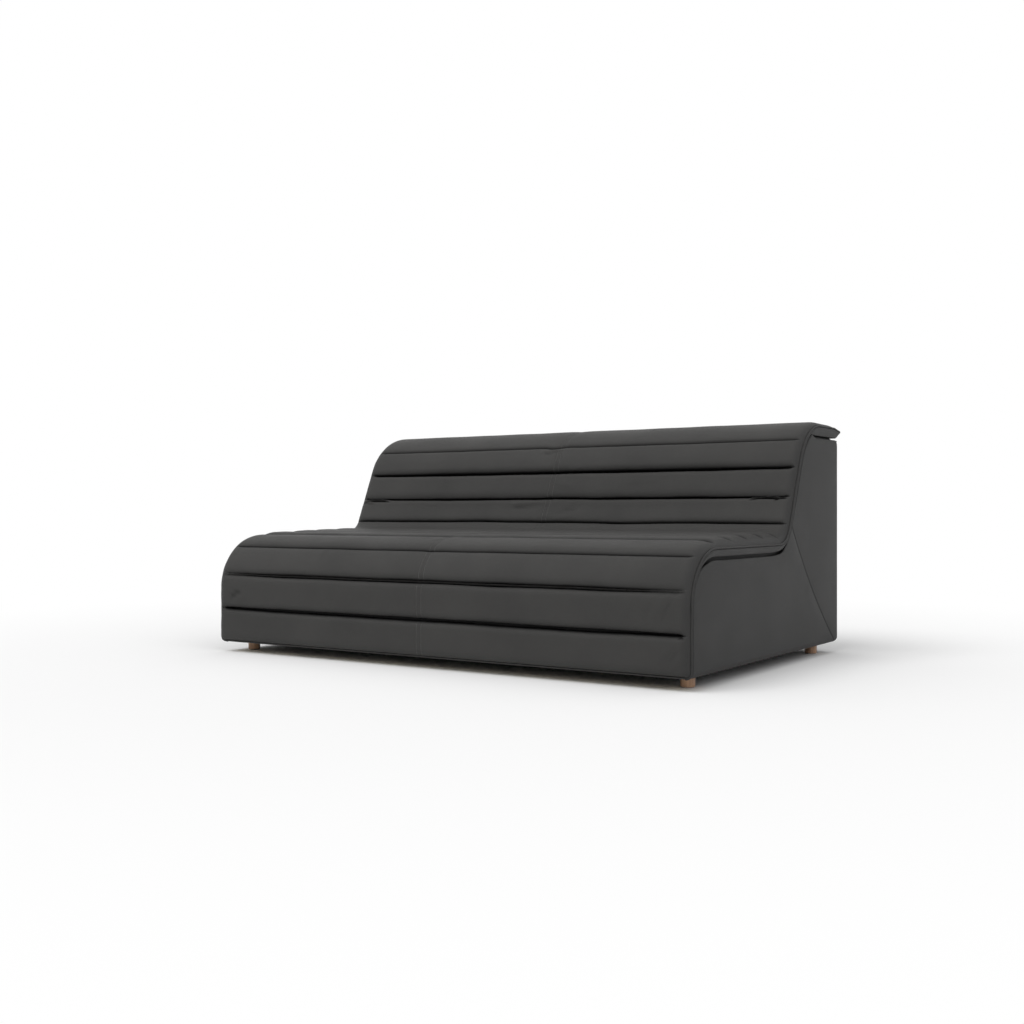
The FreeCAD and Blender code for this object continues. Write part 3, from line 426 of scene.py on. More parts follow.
# Soft folds that were set in the leather by use: across, along, turn in degrees, length, width,
# height. Each is one low ridge with a hollow beside it.
FOLDS = [(0.790, 0.190, 62, 0.085, 0.011, 0.0016), (0.742, 0.178, 70, 0.075, 0.010, 0.0012),
         (0.700, 0.200, 66, 0.060, 0.010, 0.0008), (0.815, 0.070, 48, 0.060, 0.010, 0.0014),
         (0.845, 0.045, 40, 0.045, 0.008, 0.0012), (-0.800, 0.165, 25, 0.060, 0.012, -0.0016),
         (0.655, 0.300, 80, 0.070, 0.012, 0.0007), (-0.110, 1.078, 4, 0.150, 0.007, 0.0024),
         (-0.060, 1.288, 8, 0.080, 0.006, 0.0022), (0.060, 1.215, 14, 0.060, 0.006, 0.0012),
         (0.070, 1.050, 12, 0.110, 0.012, -0.0010), (0.030, 1.150, -8, 0.090, 0.011, 0.0008),
         (0.560, 0.150, 75, 0.060, 0.011, 0.0006), (-0.450, 0.300, 85, 0.070, 0.014, 0.0006),
         (0.330, 1.160, 5, 0.140, 0.013, 0.0006), (-0.640, 1.260, -6, 0.120, 0.012, 0.0006),
         (0.768, 1.0985, 5, 0.060, 0.0030, 0.0130), (0.806, 1.0990, -7, 0.046, 0.0030, 0.0135),
         (0.836, 1.0975, 8, 0.034, 0.0030, 0.0100), (-0.800, 1.0960, 0, 0.110, 0.0034, 0.0110),
         (-0.845, 1.088, -5, 0.060, 0.0040, 0.0030), (0.240, 1.010, 2, 0.120, 0.006, 0.0016),
         (0.850, 0.116, 0, 0.018, 0.0040, 0.0040), (0.560, 1.000, -3, 0.160, 0.006, 0.0014)]


def folds(across, along):
    """The height that the set folds add."""
    added = np.zeros(across.shape)
    for x, s, turn, length, width, height in FOLDS:
        cos = math.cos(math.radians(turn))
        sin = math.sin(math.radians(turn))
        run = ((across - x) * cos + (along - s) * sin) / (length / 2)
        aside = (-(across - x) * sin + (along - s) * cos + 0.004 * run * run) / width
        added += height * bell(run ** 2) * (bell(aside) - 0.6 * bell(aside + 1.6))
    return added


def wander_of(across, along, scale, seed):
    """Slow even noise over the sheet, from -1 to 1."""
    flat = [noise.noise(Vector((x * scale, s * scale, seed)))
            for x, s in zip(across.ravel(), along.ravel())]
    return np.array(flat).reshape(across.shape)


# Where a groove strays from its line near the middle seam: groove, across, width and amount.
KINKS = [(11, -0.055, 0.030, -0.0055), (11, 0.012, 0.030, 0.0020), (8, 0.30, 0.10, -0.0030),
         (8, -0.30, 0.12, 0.0025), (9, 0.00, 0.05, 0.0015), (2, 0.10, 0.08, -0.0015)]
STRAY_END = 1.45


def stray(across, along):
    """How far the sewn lines stray along the sheet, blended from groove to groove."""
    lines = np.concatenate([[0.0], GROOVES, [STRAY_END]])
    row = across[0]
    moves = np.zeros((len(lines), len(row)))
    for number in range(len(GROOVES)):
        moves[number + 1] = 0.0011 * wander_of(row, np.full(row.shape, 3.1 * number), 5.0, 1.7)
        moves[number + 1] += 0.0005 * wander_of(row, np.full(row.shape, 5.3 * number), 21.0, 4.2)
    for number, x, width, amount in KINKS:
        moves[number + 1] += amount * bell((row - x) / width)
    return np.stack([np.interp(along[:, 0], lines, column) for column in moves.T], axis=1)


def quilt_relief(across, along):
    """How far the leather stands out from the edge seam's line, how far it sags along the sheet,
    how near each point is to a channel's crest, the mask for the crests' painted highlight, and how
    much painted shade it gets deep in a groove's tuck."""
    from_end = np.maximum(QUILT_END - np.abs(across), 0)
    from_seam = np.abs(across - SEAM_PLACE)
    full = np.interp(along, SWELL_ALONG, SWELL)
    hem = dome((along - HEM_BAND) / HEM_ROUND)
    tip = dome((TIP_ALONG - along) / TIP_ROUND)
    end = dome(from_end / np.interp(along, END_ROUND_ALONG, END_ROUND), 2.0)
    fade = np.interp(along, END_FADE_ALONG, END_FADE)
    sewn = smooth(from_end, fade, fade + END_TAPER)
    drop = np.zeros(across.shape)
    sag = np.zeros(across.shape)
    opening = (0.40 + 0.60 * smooth(from_end, 0.03, 0.34)) * smooth(from_end, 0.004, 0.055)
    opening = opening * (1 + 0.30 * wander_of(across, along * 0.1, 6.0, 8.8))
    creased = folds(across, along)
    tuck_shade = np.zeros(across.shape)
    for number, line in enumerate(GROOVES):
        near = along - line
        slit = GROOVE_SLITS[number] * opening
        above = dome((near - slit) / LIPS_ABOVE[number], 2.3)
        below = dome((-near - slit) / LIPS_BELOW[number], 2.3)
        part = GROOVE_DEPTHS[number] * (1 - np.where(near > 0, above, below))
        if number == STRIP_GROOVE:
            part -= STRIP_RISE * bell(near / STRIP_WIDTH)
        drop += part
        # Painted shade: the deeper a point lies in a groove, the darker its colour is painted.
        tuck_shade += np.clip((part * sewn - creased - TUCK_SHADE_FROM[number]) / TUCK_SHADE_DEPTH, 0, TUCK_SHADE_MOST)
        hang = smooth(near, 0.002, 0.010) * (1 - smooth(near, 0.014, 0.060))
        sag += GROOVE_DROOPS[number] * hang
    drawn = SEAM_DRAW * bell(from_seam / SEAM_DRAW_WIDTH)
    drawn += SEAM_SLIT * bell(from_seam / SEAM_SLIT_WIDTH)
    drawn += STITCH_DRAW * bell((from_seam - STITCH_OUT) / STITCH_DRAW_WIDTH)
    pucker = np.sin(along / PUCKER_PITCH * 2 * math.pi + 3 * np.sin(along * 31))
    pucker *= PUCKER * bell(from_seam / PUCKER_REACH)
    lumps = wander_of(across, along, 7.0, 3.0) * LUMPS
    crest = np.clip(1 - drop * sewn / CREST_DROP, 0, 1)
    height = full * hem * tip * end - drop * sewn * tip
    height -= (drawn - pucker) * hem * tip
    height += (creased + lumps * crest) * end * hem * tip
    tuck_shade = np.minimum(tuck_shade, TUCK_SHADE_MOST) * tip
    return height, sag * sewn, crest * sewn * (along < TIP_ALONG), tuck_shade


def rows_of_quilt():
    """Lengths along the sheet, close together beside the sewn grooves."""
    near = np.array([0, 0.0012, 0.0024, 0.0036, 0.0050, 0.0067, 0.0090, 0.0120, 0.0160, 0.0210,
                     0.0275, 0.0355, 0.0450])
    lines = np.concatenate([[HEM_BAND], GROOVES])
    rows = [-hem_length, -0.006, -0.003, 0.0, 0.0025, 0.0050]
    for one, two in zip(lines, lines[1:]):
        half = (two - one) / 2
        steps = near[near < half - 0.003]
        rows += list(one + steps) + [one + half] + list((two - steps)[:0:-1])
    rows += list(lines[-1] + near)
    rows += list(np.arange(lines[-1] + 0.055, TIP_ALONG - 0.050, 0.0095))
    rows += list(TIP_ALONG + np.array([-0.046, -0.038, -0.030, -0.023, -0.017, -0.012, -0.008,
                                       -0.005, -0.0025, 0, 0.0025, 0.005, 0.009, 0.014, 0.020,
                                       0.026, 0.032, 0.038, 0.044, 0.052]))
    rows += list(np.linspace(TIP_ALONG + 0.066, seam.length, 14))
    return np.array(rows)


def select_only(*pieces):
    """Selects these pieces alone and makes the first one active."""
    bpy.ops.object.select_all(action="DESELECT")
    for one in pieces:
        one.select_set(True)
    bpy.context.view_layer.objects.active = pieces[0]


def points_of(piece):
    """The places of a piece's points, as rows of x, y and z."""
    places = np.zeros(len(piece.data.vertices) * 3)
    piece.data.vertices.foreach_get("co", places)
    return places.reshape(-1, 3)


def set_points(piece, places):
    """Moves a piece's points to these places."""
    piece.data.vertices.foreach_set("co", places.ravel())
    piece.data.update()


def grid_piece(name, x, y, z):
    """A grid primitive with its points at these places, given as arrays of rows and columns."""
    rows, columns = x.shape
    bpy.ops.object.select_all(action="DESELECT")
    bpy.ops.mesh.primitive_grid_add(x_subdivisions=columns - 1, y_subdivisions=rows - 1, size=1)
    piece = bpy.context.object
    piece.name = name
    piece.data.name = name
    places = points_of(piece)
    column = np.rint((places[:, 0] + 0.5) * (columns - 1)).astype(int)
    row = np.rint((places[:, 1] + 0.5) * (rows - 1)).astype(int)
    set_points(piece, np.stack([x[row, column], y[row, column], z[row, column]], axis=1))
    return piece, row, column


def in_edit(piece, *steps):
    """Operators run on everything in the piece in edit mode."""
    select_only(piece)
    bpy.ops.object.mode_set(mode="EDIT")
    bpy.ops.mesh.select_all(action="SELECT")
    for step, settings in steps:
        step(**settings)
    bpy.ops.object.mode_set(mode="OBJECT")


def fill_loop(piece, chosen):
    """A face across the loop of points that are chosen."""
    select_only(piece)
    bpy.ops.object.mode_set(mode="EDIT")
    bpy.ops.mesh.select_mode(type="VERT")
    bpy.ops.mesh.select_all(action="DESELECT")
    bpy.ops.object.mode_set(mode="OBJECT")
    piece.data.vertices.foreach_set("select", chosen)
    bpy.ops.object.mode_set(mode="EDIT")
    bpy.ops.mesh.edge_face_add()
    bpy.ops.object.mode_set(mode="OBJECT")


def face_out(piece, axis, side):
    """Turns the faces of an open sheet so that they look to one side of an axis."""
    facing = sum(face.normal[axis] * face.area for face in piece.data.polygons)
    if facing * side < 0:
        in_edit(piece, (bpy.ops.mesh.flip_normals, {}))


def finish_soft(piece, material, stands_for=(), angle=50):
    """Smooth shading, its leather, a place under the root body, and the CAD parts that it stands
    for hidden.
    """
    select_only(piece)
    bpy.ops.object.shade_smooth_by_angle(angle=math.radians(angle))
    piece.data.materials.append(material)
    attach(piece, "root")
    if stands_for:
        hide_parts(*stands_for)


def inflate(piece, held, pressure, spare, reach, last=18):
    """Blow a sheet out between the points that are sewn down, with a cloth simulation, and keep
    what comes of it, no point further than reach from where it was."""
    before = points_of(piece)
    sewn = piece.vertex_groups.new(name="sewn")
    sewn.add([int(number) for number in np.flatnonzero(held)], 1.0, "REPLACE")
    cloth = piece.modifiers.new("Cloth", "CLOTH")
    cloth.settings.quality = 6
    cloth.settings.mass = 0.25
    cloth.settings.tension_stiffness = 30
    cloth.settings.compression_stiffness = 30
    cloth.settings.shear_stiffness = 10
    cloth.settings.bending_stiffness = 2.0
    cloth.settings.vertex_group_mass = "sewn"
    cloth.settings.shrink_min = -spare
    cloth.settings.use_pressure = True
    cloth.settings.uniform_pressure_force = pressure
    cloth.settings.effector_weights.gravity = 0
    cloth.collision_settings.use_collision = False
    cloth.point_cache.frame_start = 1
    cloth.point_cache.frame_end = last
    for number in range(1, last + 1):
        scene.frame_set(number)
    select_only(piece)
    bpy.ops.object.modifier_apply(modifier="Cloth")
    scene.frame_set(1)
    moved = points_of(piece) - before
    size = np.linalg.norm(moved, axis=1, keepdims=True)
    set_points(piece, before + moved * np.minimum(1, reach / np.maximum(size, 1e-9)))
    piece.vertex_groups.clear()


SEAM_COLUMNS = [0, 0.0009, 0.002, 0.004, 0.0065, 0.0082, 0.009, 0.0098, 0.0115, 0.015, 0.020,
                0.026, 0.033]
END_COLUMNS = [0, 0.0008, 0.002, 0.0036, 0.0056, 0.008, 0.0108, 0.014, 0.0176, 0.0216, 0.026,
               0.031, 0.037, 0.044]
MIDDLE_PITCH = 0.0085
TURNED_DOWN = 0.0028
CAPPED_DOWN = 0.0040
ROW_ABOVE_CORNER = 40
HELD_BESIDE_GROOVE = 0.0040
HELD_HEM_ROWS = 8
HELD_FLAP_ROWS = 20
ENDS = (("right", 1), ("left", -1))


def quilt_half(word, side):
    """One half of the quilt: its outer face, turned in at both ends, and its flat underside."""
    outer = rows_of_quilt()
    span = QUILT_END - side * SEAM_PLACE - SEAM_GAP
    middle = np.linspace(SEAM_COLUMNS[-1], span - END_COLUMNS[-1],
                         int((span - 0.07) / MIDDLE_PITCH) + 2)[1:-1]
    inward = np.concatenate([SEAM_COLUMNS, middle, span - np.array(END_COLUMNS)[::-1]])
    across = SEAM_PLACE + side * (SEAM_GAP + inward)
    along_grid, across_grid = np.meshgrid(outer, across, indexing="ij")
    height, sag, crest, tuck_shade = quilt_relief(across_grid, along_grid)
    y, z = seam.at(along_grid - sag + stray(across_grid, along_grid), height)
    pull = corner_of(np.maximum(along_grid, 0))
    x = across_grid - side * pull * smooth(np.abs(across_grid), QUILT_END - CORNER_REACH, QUILT_END)

    for end, down in ((QUILT_END, TURNED_DOWN), (CAP_END, CAPPED_DOWN)):
        more_y, more_z = seam.at(outer, np.where(outer < 0.004, 0.0, -down))
        x = np.column_stack([x, side * np.minimum(end, QUILT_END - pull[:, 0])])
        y = np.column_stack([y, more_y])
        z = np.column_stack([z, more_z])

    inside = np.linspace(ROLL_END - 0.10, 0.02, 34)
    under_y, under_z = seam.at(inside, -QUILT_THICKNESS)
    under_y = np.concatenate([under_y, [y[0, 0]]])
    under_z = np.concatenate([under_z, [z[0, 0]]])
    underside = side * np.minimum(side * x[ROW_ABOVE_CORNER], CAP_END)
    x = np.vstack([x, np.tile(underside, (len(under_y), 1))])
    x[-1] = x[0]
    y = np.vstack([y, np.tile(under_y[:, None], y.shape[1])])
    z = np.vstack([z, np.tile(under_z[:, None], z.shape[1])])

    piece, row, column = grid_piece(f"quilt_{word}", x, y, z)
    # The crest mask for the painted highlight and the painted shade of the tucks go on the mesh as
    # attributes.
    for kind, worth in (("crest", crest), ("tuck_shade", tuck_shade)):
        whole = np.zeros(x.shape, np.float32)
        whole[:worth.shape[0], :worth.shape[1]] = worth
        spread = piece.data.attributes.new(kind, "FLOAT", "POINT")
        spread.data.foreach_set("value", whole[row, column])
    if side < 0:
        in_edit(piece, (bpy.ops.mesh.flip_normals, {}))
    line = np.abs(outer[:, None] - GROOVES[None, :]).min(axis=1)
    line = np.concatenate([line, np.zeros(len(under_y))])
    held = (line[row] < HELD_BESIDE_GROOVE) | (column == 0) | (column >= len(across) - 1)
    held |= (row < HELD_HEM_ROWS) | (row >= len(outer) - HELD_FLAP_ROWS)
    inflate(piece, held, pressure=1.2, spare=0.004, reach=0.002)
    on_stitch = (column == SEAM_COLUMNS.index(STITCH_OUT)) & (row < len(outer))
    stitched = points_of(piece)[on_stitch][np.argsort(row[on_stitch])]
    for last_column in (0, x.shape[1] - 1):
        fill_loop(piece, column == last_column)
    in_edit(piece, (bpy.ops.mesh.remove_doubles, {"threshold": 1e-6}))
    finish_soft(piece, quilt_leather,
                [f"front_quilt_{word}", f"seat_quilt_{word}", f"back_quilt_{word}",
                 f"top_roll_quilt_{word}"])
    return stitched


stitch_lines = {word: quilt_half(word, side) for word, side in ENDS}

# Top-stitching: a row of waxed thread each side of the middle seam, through the leather and its
# seam allowance, from the front's hem over the top to the flap's underside.

STITCH_LENGTH = 0.0050
STITCH_PITCH = 0.0066
THREAD_WIDTH = 0.0010
THREAD_DARK = (0.065, 0.065, 0.064, 1)
THREAD_PALE = (0.200, 0.198, 0.192, 1)
thread, tree, shader, place = new_look("grey thread")
twist = node(tree, "ShaderNodeTexNoise", Vector=place, Scale=900.0, Detail=1.0).outputs["Fac"]
tree.links.new(blend(tree, twist, THREAD_DARK, THREAD_PALE), shader.inputs["Base Color"])
shader.inputs["Roughness"].default_value = 0.7
feed_bump(tree, shader, twist, 0.6, 0.0002)


def measured(line):
    """A line's length, and a function that gives its points at lengths along it."""
    steps = np.concatenate([[0], np.cumsum(np.linalg.norm(np.diff(line, axis=0), axis=1))])

    def points_at(marks):
        return np.stack([np.interp(marks, steps, values) for values in line.T], axis=1)

    return steps[-1], points_at


def even_steps(line, pitch):
    """Points at even steps along a line of points, and the line's direction at each."""
    length, points_at = measured(line)
    marks = np.arange(pitch, length - pitch / 2, pitch)
    way = points_at(marks + pitch * 0.3) - points_at(marks - pitch * 0.3)
    return points_at(marks), way / np.linalg.norm(way, axis=1, keepdims=True)


def stitch_row(name, line, aside):
    """One thread stitch, shaped from a sphere, repeated along a line. Aside points across it."""
    bpy.ops.object.select_all(action="DESELECT")
    bpy.ops.mesh.primitive_uv_sphere_add(segments=6, ring_count=5, radius=0.5)
    piece = bpy.context.object
    piece.name = name
    piece.data.name = name
    one = points_of(piece)[:, [2, 0, 1]]
    spots, way = even_steps(line, STITCH_PITCH)
    across = np.broadcast_to(np.array(aside, float), way.shape)
    out = np.cross(way, across)
    out /= np.linalg.norm(out, axis=1, keepdims=True)
    count = len(one)
    mesh = piece.data
    faces = [list(face.vertices) for face in mesh.polygons]
    shaped = (spots[:, None, :] + one[None, :, 0:1] * STITCH_LENGTH * way[:, None, :]
              + one[None, :, 1:2] * THREAD_WIDTH * across[:, None, :]
              + (one[None, :, 2:3] * THREAD_WIDTH + 0.00015) * out[:, None, :])
    mesh.clear_geometry()
    mesh.from_pydata(shaped.reshape(-1, 3).tolist(), [],
                     [[index + count * number for index in face]
                      for number in range(len(spots)) for face in faces])
    in_edit(piece, (bpy.ops.mesh.normals_make_consistent, {"inside": False}))
    select_only(piece)
    bpy.ops.object.shade_smooth()
    mesh.materials.append(thread)
    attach(piece, "root")
    return piece


for word, line in stitch_lines.items():
    stitch_row(f"seam_stitches_{word}", line, (1, 0, 0))

# Piping: a cord wrapped in a strip of leather and sewn into the edge seam at each end, and a
# finer one in the hem seam just above the front's lower edge.

WELT_RADIUS = 0.0028
WELT_OUT = 0.0018
HEM_WELT_RADIUS = 0.0027
HEM_WELT_RISE = 0.0036


def tube(name, line, radius, material):
    """A round cord along a line of points, made as a bevelled curve and turned into a mesh."""
    bpy.ops.object.select_all(action="DESELECT")
    bpy.ops.curve.primitive_nurbs_path_add()
    piece = bpy.context.object
    piece.name = name
    curve = piece.data
    curve.splines.clear()
    spline = curve.splines.new("POLY")
    spline.points.add(len(line) - 1)
    spline.points.foreach_set("co", np.column_stack([line, np.ones(len(line))]).ravel())
    curve.bevel_depth = radius
    curve.bevel_resolution = 3
    curve.use_fill_caps = True
    bpy.ops.object.convert(target="MESH")
    piece.data.name = name
    in_edit(piece, (bpy.ops.mesh.remove_doubles, {"threshold": 1e-6}),
            (bpy.ops.mesh.normals_make_consistent, {"inside": False}))
    select_only(piece)
    bpy.ops.object.shade_smooth_by_angle(angle=math.radians(60))
    piece.data.materials.append(material)
    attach(piece, "root")
    return piece


for word, side in ENDS:
    along = np.concatenate([np.arange(-0.006, TIP_ALONG - 0.02, 0.004),
                            TIP_ALONG + np.array([-0.016, -0.011, -0.007, -0.004, -0.002, 0.0])])
    wobble = 0.0003 * np.sin(along * 57 + side) + 0.0002 * np.sin(along * 131)
    y, z = seam.at(along, wobble)
    across = side * (QUILT_END + WELT_OUT + 0.0002 * np.sin(along * 43)
                     - corner_of(np.maximum(along, 0)))
    welt = tube(f"end_welt_{word}", np.column_stack([across, y, z]), WELT_RADIUS, welt_leather)
    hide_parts(f"edge_welt_{word}")

across = np.linspace(-QUILT_END + CORNER, QUILT_END - CORNER, 240)
y, z = seam.at(np.full(across.shape, HEM_WELT_RISE), 0.0012 + 0.0002 * np.sin(across * 61))
tube("hem_welt", np.column_stack([across, y, z]), HEM_WELT_RADIUS, welt_leather)

# Edge bands: the boxing strip that closes each end of the quilt below its piping. It shows most
# along the seat, all but vanishes in the crease, and widens into the flap's end face.

BAND_ALONG = [0.205, 0.26, 0.305, 0.352, 0.41, 0.47, 0.83, 0.89, 0.935, 0.975, 1.01, 1.06, 1.36]
BAND_DEPTH = [0.0030, 0.0055, 0.0105, 0.0165, 0.0225, 0.0240, 0.0240, 0.0200, 0.0120, 0.0060,
              0.0065, 0.0090, 0.0100]
BAND_TOP = 0.0022
BAND_FACE = 0.8797
BAND_ROUND = 0.0055
BAND_TAIL = 0.030
BAND_TUCKED = 0.8655
BAND_END = 1.368
BAND_BULGE = 0.0010
FLAP_JOIN = 1.386
BAND_SHARES = np.array([0, 0.03, 0.08, 0.16, 0.27, 0.40, 0.55, 0.70, 0.82, 0.91, 0.97, 1.0])


def band_depth(along):
    """The strip's height below the edge seam, with its corners eased."""
    spread = np.linspace(-0.012, 0.012, 9)
    return np.mean([np.interp(along + step, BAND_ALONG, BAND_DEPTH) for step in spread], axis=0)


def end_band(word, side):
    """One strip: its face, eased at both edges, a tail tucked in below it and painted dark as
    shade, and its back.
    """
    low_part = np.arange(BAND_ALONG[0], BAND_END, 0.006)
    flap = np.linspace(0, 1, 46)
    top_along = np.concatenate([low_part, FLAP_JOIN + flap * (TIP_ALONG - FLAP_JOIN)])
    top = np.stack(seam.at(top_along, -BAND_TOP * smooth(TIP_ALONG - top_along, 0, 0.01)), axis=1)
    low = np.stack(seam.at(low_part, -band_depth(low_part)), axis=1)
    under = np.stack(seam.at(seam.length - flap * (seam.length - TIP_ALONG)), axis=1)
    low = np.vstack([low, under])
    width = np.linalg.norm(low - top, axis=1)
    tail = BAND_TAIL * (1 - smooth(top_along, 1.30, 1.36))
    down = (low - top) / np.maximum(width, 1e-6)[:, None]
    spots = top[:, None, :] + BAND_SHARES[None, :, None] * (low - top)[:, None, :]
    edge = np.minimum(BAND_SHARES, 1 - BAND_SHARES)[None, :] * width[:, None]
    curve = np.minimum(BAND_ROUND, width / 2 + 1e-6)[:, None]
    turn = 1 - np.clip(edge / curve, 0, 1)
    face = BAND_FACE - curve * (1 - np.sqrt(1 - turn ** 2))
    face += BAND_BULGE * smooth(edge, 0.003, 0.016)
    behind = low + down * tail[:, None]
    back = np.full(len(top), CAP_END + 0.0003)
    tucked = np.minimum(face[:, -1], BAND_TUCKED)
    x = np.column_stack([back, face, tucked, tucked, back, back])
    y, z = [np.column_stack([top[:, axis], spots[:, :, axis], low[:, axis], behind[:, axis],
                             behind[:, axis], top[:, axis]]) for axis in (0, 1)]
    band, row, column = grid_piece(f"end_band_{word}", side * x, y, z)
    # The strip's tucked tail is painted near black: painted shade in the crevice under the band.
    tail_shade = np.where(column >= len(BAND_SHARES), TUCK_SHADE_MOST, 0.0).astype(np.float32)
    band.data.attributes.new("tuck_shade", "FLOAT", "POINT").data.foreach_set("value", tail_shade)
    for last_row in (0, len(top) - 1):
        fill_loop(band, row == last_row)
    in_edit(band, (bpy.ops.mesh.remove_doubles, {"threshold": 1e-5}),
            (bpy.ops.mesh.normals_make_consistent, {"inside": False}))
    finish_soft(band, quilt_leather)


for word, side in ENDS:
    end_band(word, side)

# End covers: leather over thin wadding, drawn tight over each side panel in a front piece and a
# rear gore. They meet in a slanting seam from the crease down to the lower rear corner.

COVER_FACE = 0.8795
COVER_ROLL = 0.0042
COVER_THICKNESS = 0.0100
COVER_BULGE = 0.0008
SEAT_CREVICE = 0.0088
WELT_INSET = 0.0052
BACK_CREVICE = 0.0022
BODY_RISE = 0.0075
COVER_PITCH = 0.014
COVER_LIFT = 0.0004
GORE_FOOT = (FRONT + 1.1187, LOW + COVER_LIFT)
GORE_HEAD_ALONG = 1.0065
SLANT_SAG = 0.020
FLAP_MEET = 1.372
BODY_TOP = rear_high.z + BODY_RISE
REAR_ROUND = 0.020
LOW_ROUND = 0.010
REAR_INSET = 0.0006


def cover_inset(along):
    """How far inside the edge seam a cover's edge runs: under the band where that shows."""
    deep = band_depth(along)
    crevice = SEAT_CREVICE * smooth(deep, 0.008, 0.018) + 0.0006
    crevice += BACK_CREVICE * smooth(np.asarray(along), 1.04, 1.10)
    return np.where(along < BAND_ALONG[0], WELT_INSET, np.maximum(WELT_INSET, deep + crevice))


def slant(shift):
    """The slanting seam from the lower rear corner up to the crease, moved aside by shift."""
    head = np.array(seam.at(GORE_HEAD_ALONG, -cover_inset(np.array(GORE_HEAD_ALONG)))).ravel()
    foot = np.array(GORE_FOOT)
    run = head - foot
    aside = np.array((run[1], -run[0])) / np.linalg.norm(run)
    share = np.linspace(0, 1, 80)[:, None]
    return foot + run * share + aside * (shift - SLANT_SAG * 4 * share * (1 - share))


def spread_along(line, shares):
    """Points at shares of a line's length."""
    length, points_at = measured(line)
    return points_at(shares * length)


def shares_of(length, pitch):
    """Shares of a length for a sheet's points, close together at both edges."""
    near = np.array([0, 0.0007, 0.0016, 0.0028, 0.0046, 0.0075, 0.012, 0.019, 0.029])
    count = max(int((length - 2 * near[-1]) / pitch), 2)
    middle = np.linspace(near[-1], length - near[-1], count + 1)[1:-1]
    return np.concatenate([near, middle, length - near[::-1]]) / length


def end_cover(name, side, bottom, top, front, back, node_name):
    """A leather sheet between four lines of points (y, z), rolled in at its edges and padded."""
    over = shares_of(max(measured(line)[0] for line in (bottom, top)), COVER_PITCH)
    up = shares_of(max(measured(line)[0] for line in (front, back)), COVER_PITCH)
    u = over[None, :, None]
    v = up[:, None, None]
    low = spread_along(bottom, over)[None]
    high = spread_along(top, over)[None]
    near = spread_along(front, up)[:, None]
    far = spread_along(back, up)[:, None]
    corners = ((1 - u) * (1 - v) * bottom[0] + u * (1 - v) * bottom[-1]
               + (1 - u) * v * top[0] + u * v * top[-1])
    flat = (1 - v) * low + v * high + (1 - u) * near + u * far - corners
    rim_shares = np.linspace(0, 1, 500)
    rim = np.concatenate([spread_along(line, rim_shares) for line in (top, front, back)])
    inside = np.array([np.linalg.norm(rim - spot, axis=1).min() for spot in flat.reshape(-1, 2)])
    inside = inside.reshape(flat.shape[:2])
    roll = np.clip(1 - inside / COVER_ROLL, 0, 1)
    above = flat[..., 1] - LOW
    x = COVER_FACE - COVER_ROLL * (1 - np.sqrt(1 - roll ** 2)) - corner_of(above)
    x += COVER_BULGE * smooth(inside, 0, 0.12) * smooth(above, 0, 0.12)
    x += 0.0005 * wander_of(flat[..., 0], flat[..., 1], 6.0, 9.0) * smooth(inside, 0, 0.03)
    piece, row, column = grid_piece(name, side * x, flat[..., 0], flat[..., 1])
    in_edit(piece, (bpy.ops.mesh.normals_make_consistent, {"inside": False}))
    face_out(piece, 0, side)
    held = (inside[row, column] < 0.0030) | (above[row, column] < CORNER)
    inflate(piece, held, pressure=0.4, spare=0.0, reach=0.0015, last=10)
    padding = piece.vertex_groups.new(name="padding")
    for number, share in enumerate(smooth(above[row, column], 0.0, 0.05)):
        padding.add([number], float(share), "REPLACE")
    wall = piece.modifiers.new("wadding", "SOLIDIFY")
    wall.thickness = COVER_THICKNESS
    wall.offset = -1
    wall.vertex_group = "padding"
    wall.thickness_vertex_group = 0.25
    select_only(piece)
    bpy.ops.object.modifier_apply(modifier="wadding")
    piece.vertex_groups.clear()
    finish_soft(piece, cover_leather, [node_name])


def along_seam(first, last, steps=240):
    """The covers' edge beside the edge seam, between two lengths along it."""
    along = np.linspace(first, last, steps)
    return np.column_stack(seam.at(along, -cover_inset(along)))


def rear_arc(radius, height, first, last, steps):
    """A corner of the body's rear outline, between two angles in degrees."""
    turn = np.linspace(math.radians(first), math.radians(last), steps)
    return np.column_stack([REAR - REAR_INSET - radius * (1 - np.cos(turn)),
                            height + radius * np.sin(turn)])


low_centre = LOW + COVER_LIFT + LOW_ROUND
top_centre = BODY_TOP - REAR_ROUND
for word, side in ENDS:
    front_edge = np.array([(FRONT + WELT_INSET, LOW + COVER_LIFT),
                           (FRONT + WELT_INSET, LOW + 0.186)])
    roll_and_seat = np.vstack([front_edge[1:], along_seam(0.187, GORE_HEAD_ALONG - 0.003)])
    seam_line = slant(-0.0003)
    bottom = np.array([front_edge[0], seam_line[0]])
    end_cover(f"end_cover_{word}", side, bottom, np.vstack([roll_and_seat, seam_line[-1:]]),
              front_edge, seam_line, f"side_cover_{word}")

    seam_line = slant(0.0003)
    up_back = along_seam(GORE_HEAD_ALONG + 0.004, FLAP_MEET, 160)
    rear_edge = np.vstack([rear_arc(LOW_ROUND, low_centre, -45, 0, 5),
                           rear_arc(REAR_ROUND, top_centre, 0, 45, 8)])
    low_edge = np.vstack([seam_line[:1], rear_arc(LOW_ROUND, low_centre, -90, -45, 5)])
    under_flap = np.vstack([up_back[-1:], [(FLAP_START + 0.010, BODY_TOP - 0.003)],
                            rear_arc(REAR_ROUND, top_centre, 90, 45, 8)])
    end_cover(f"end_gore_{word}", side, low_edge, under_flap,
              np.vstack([seam_line, up_back]), rear_edge, f"side_gore_{word}")

# Rear cover: one leather sheet over wadding, stapled under the frame, drawn up the back and
# over its top corner, and run forward under the flap. A seam near the middle joins its halves.

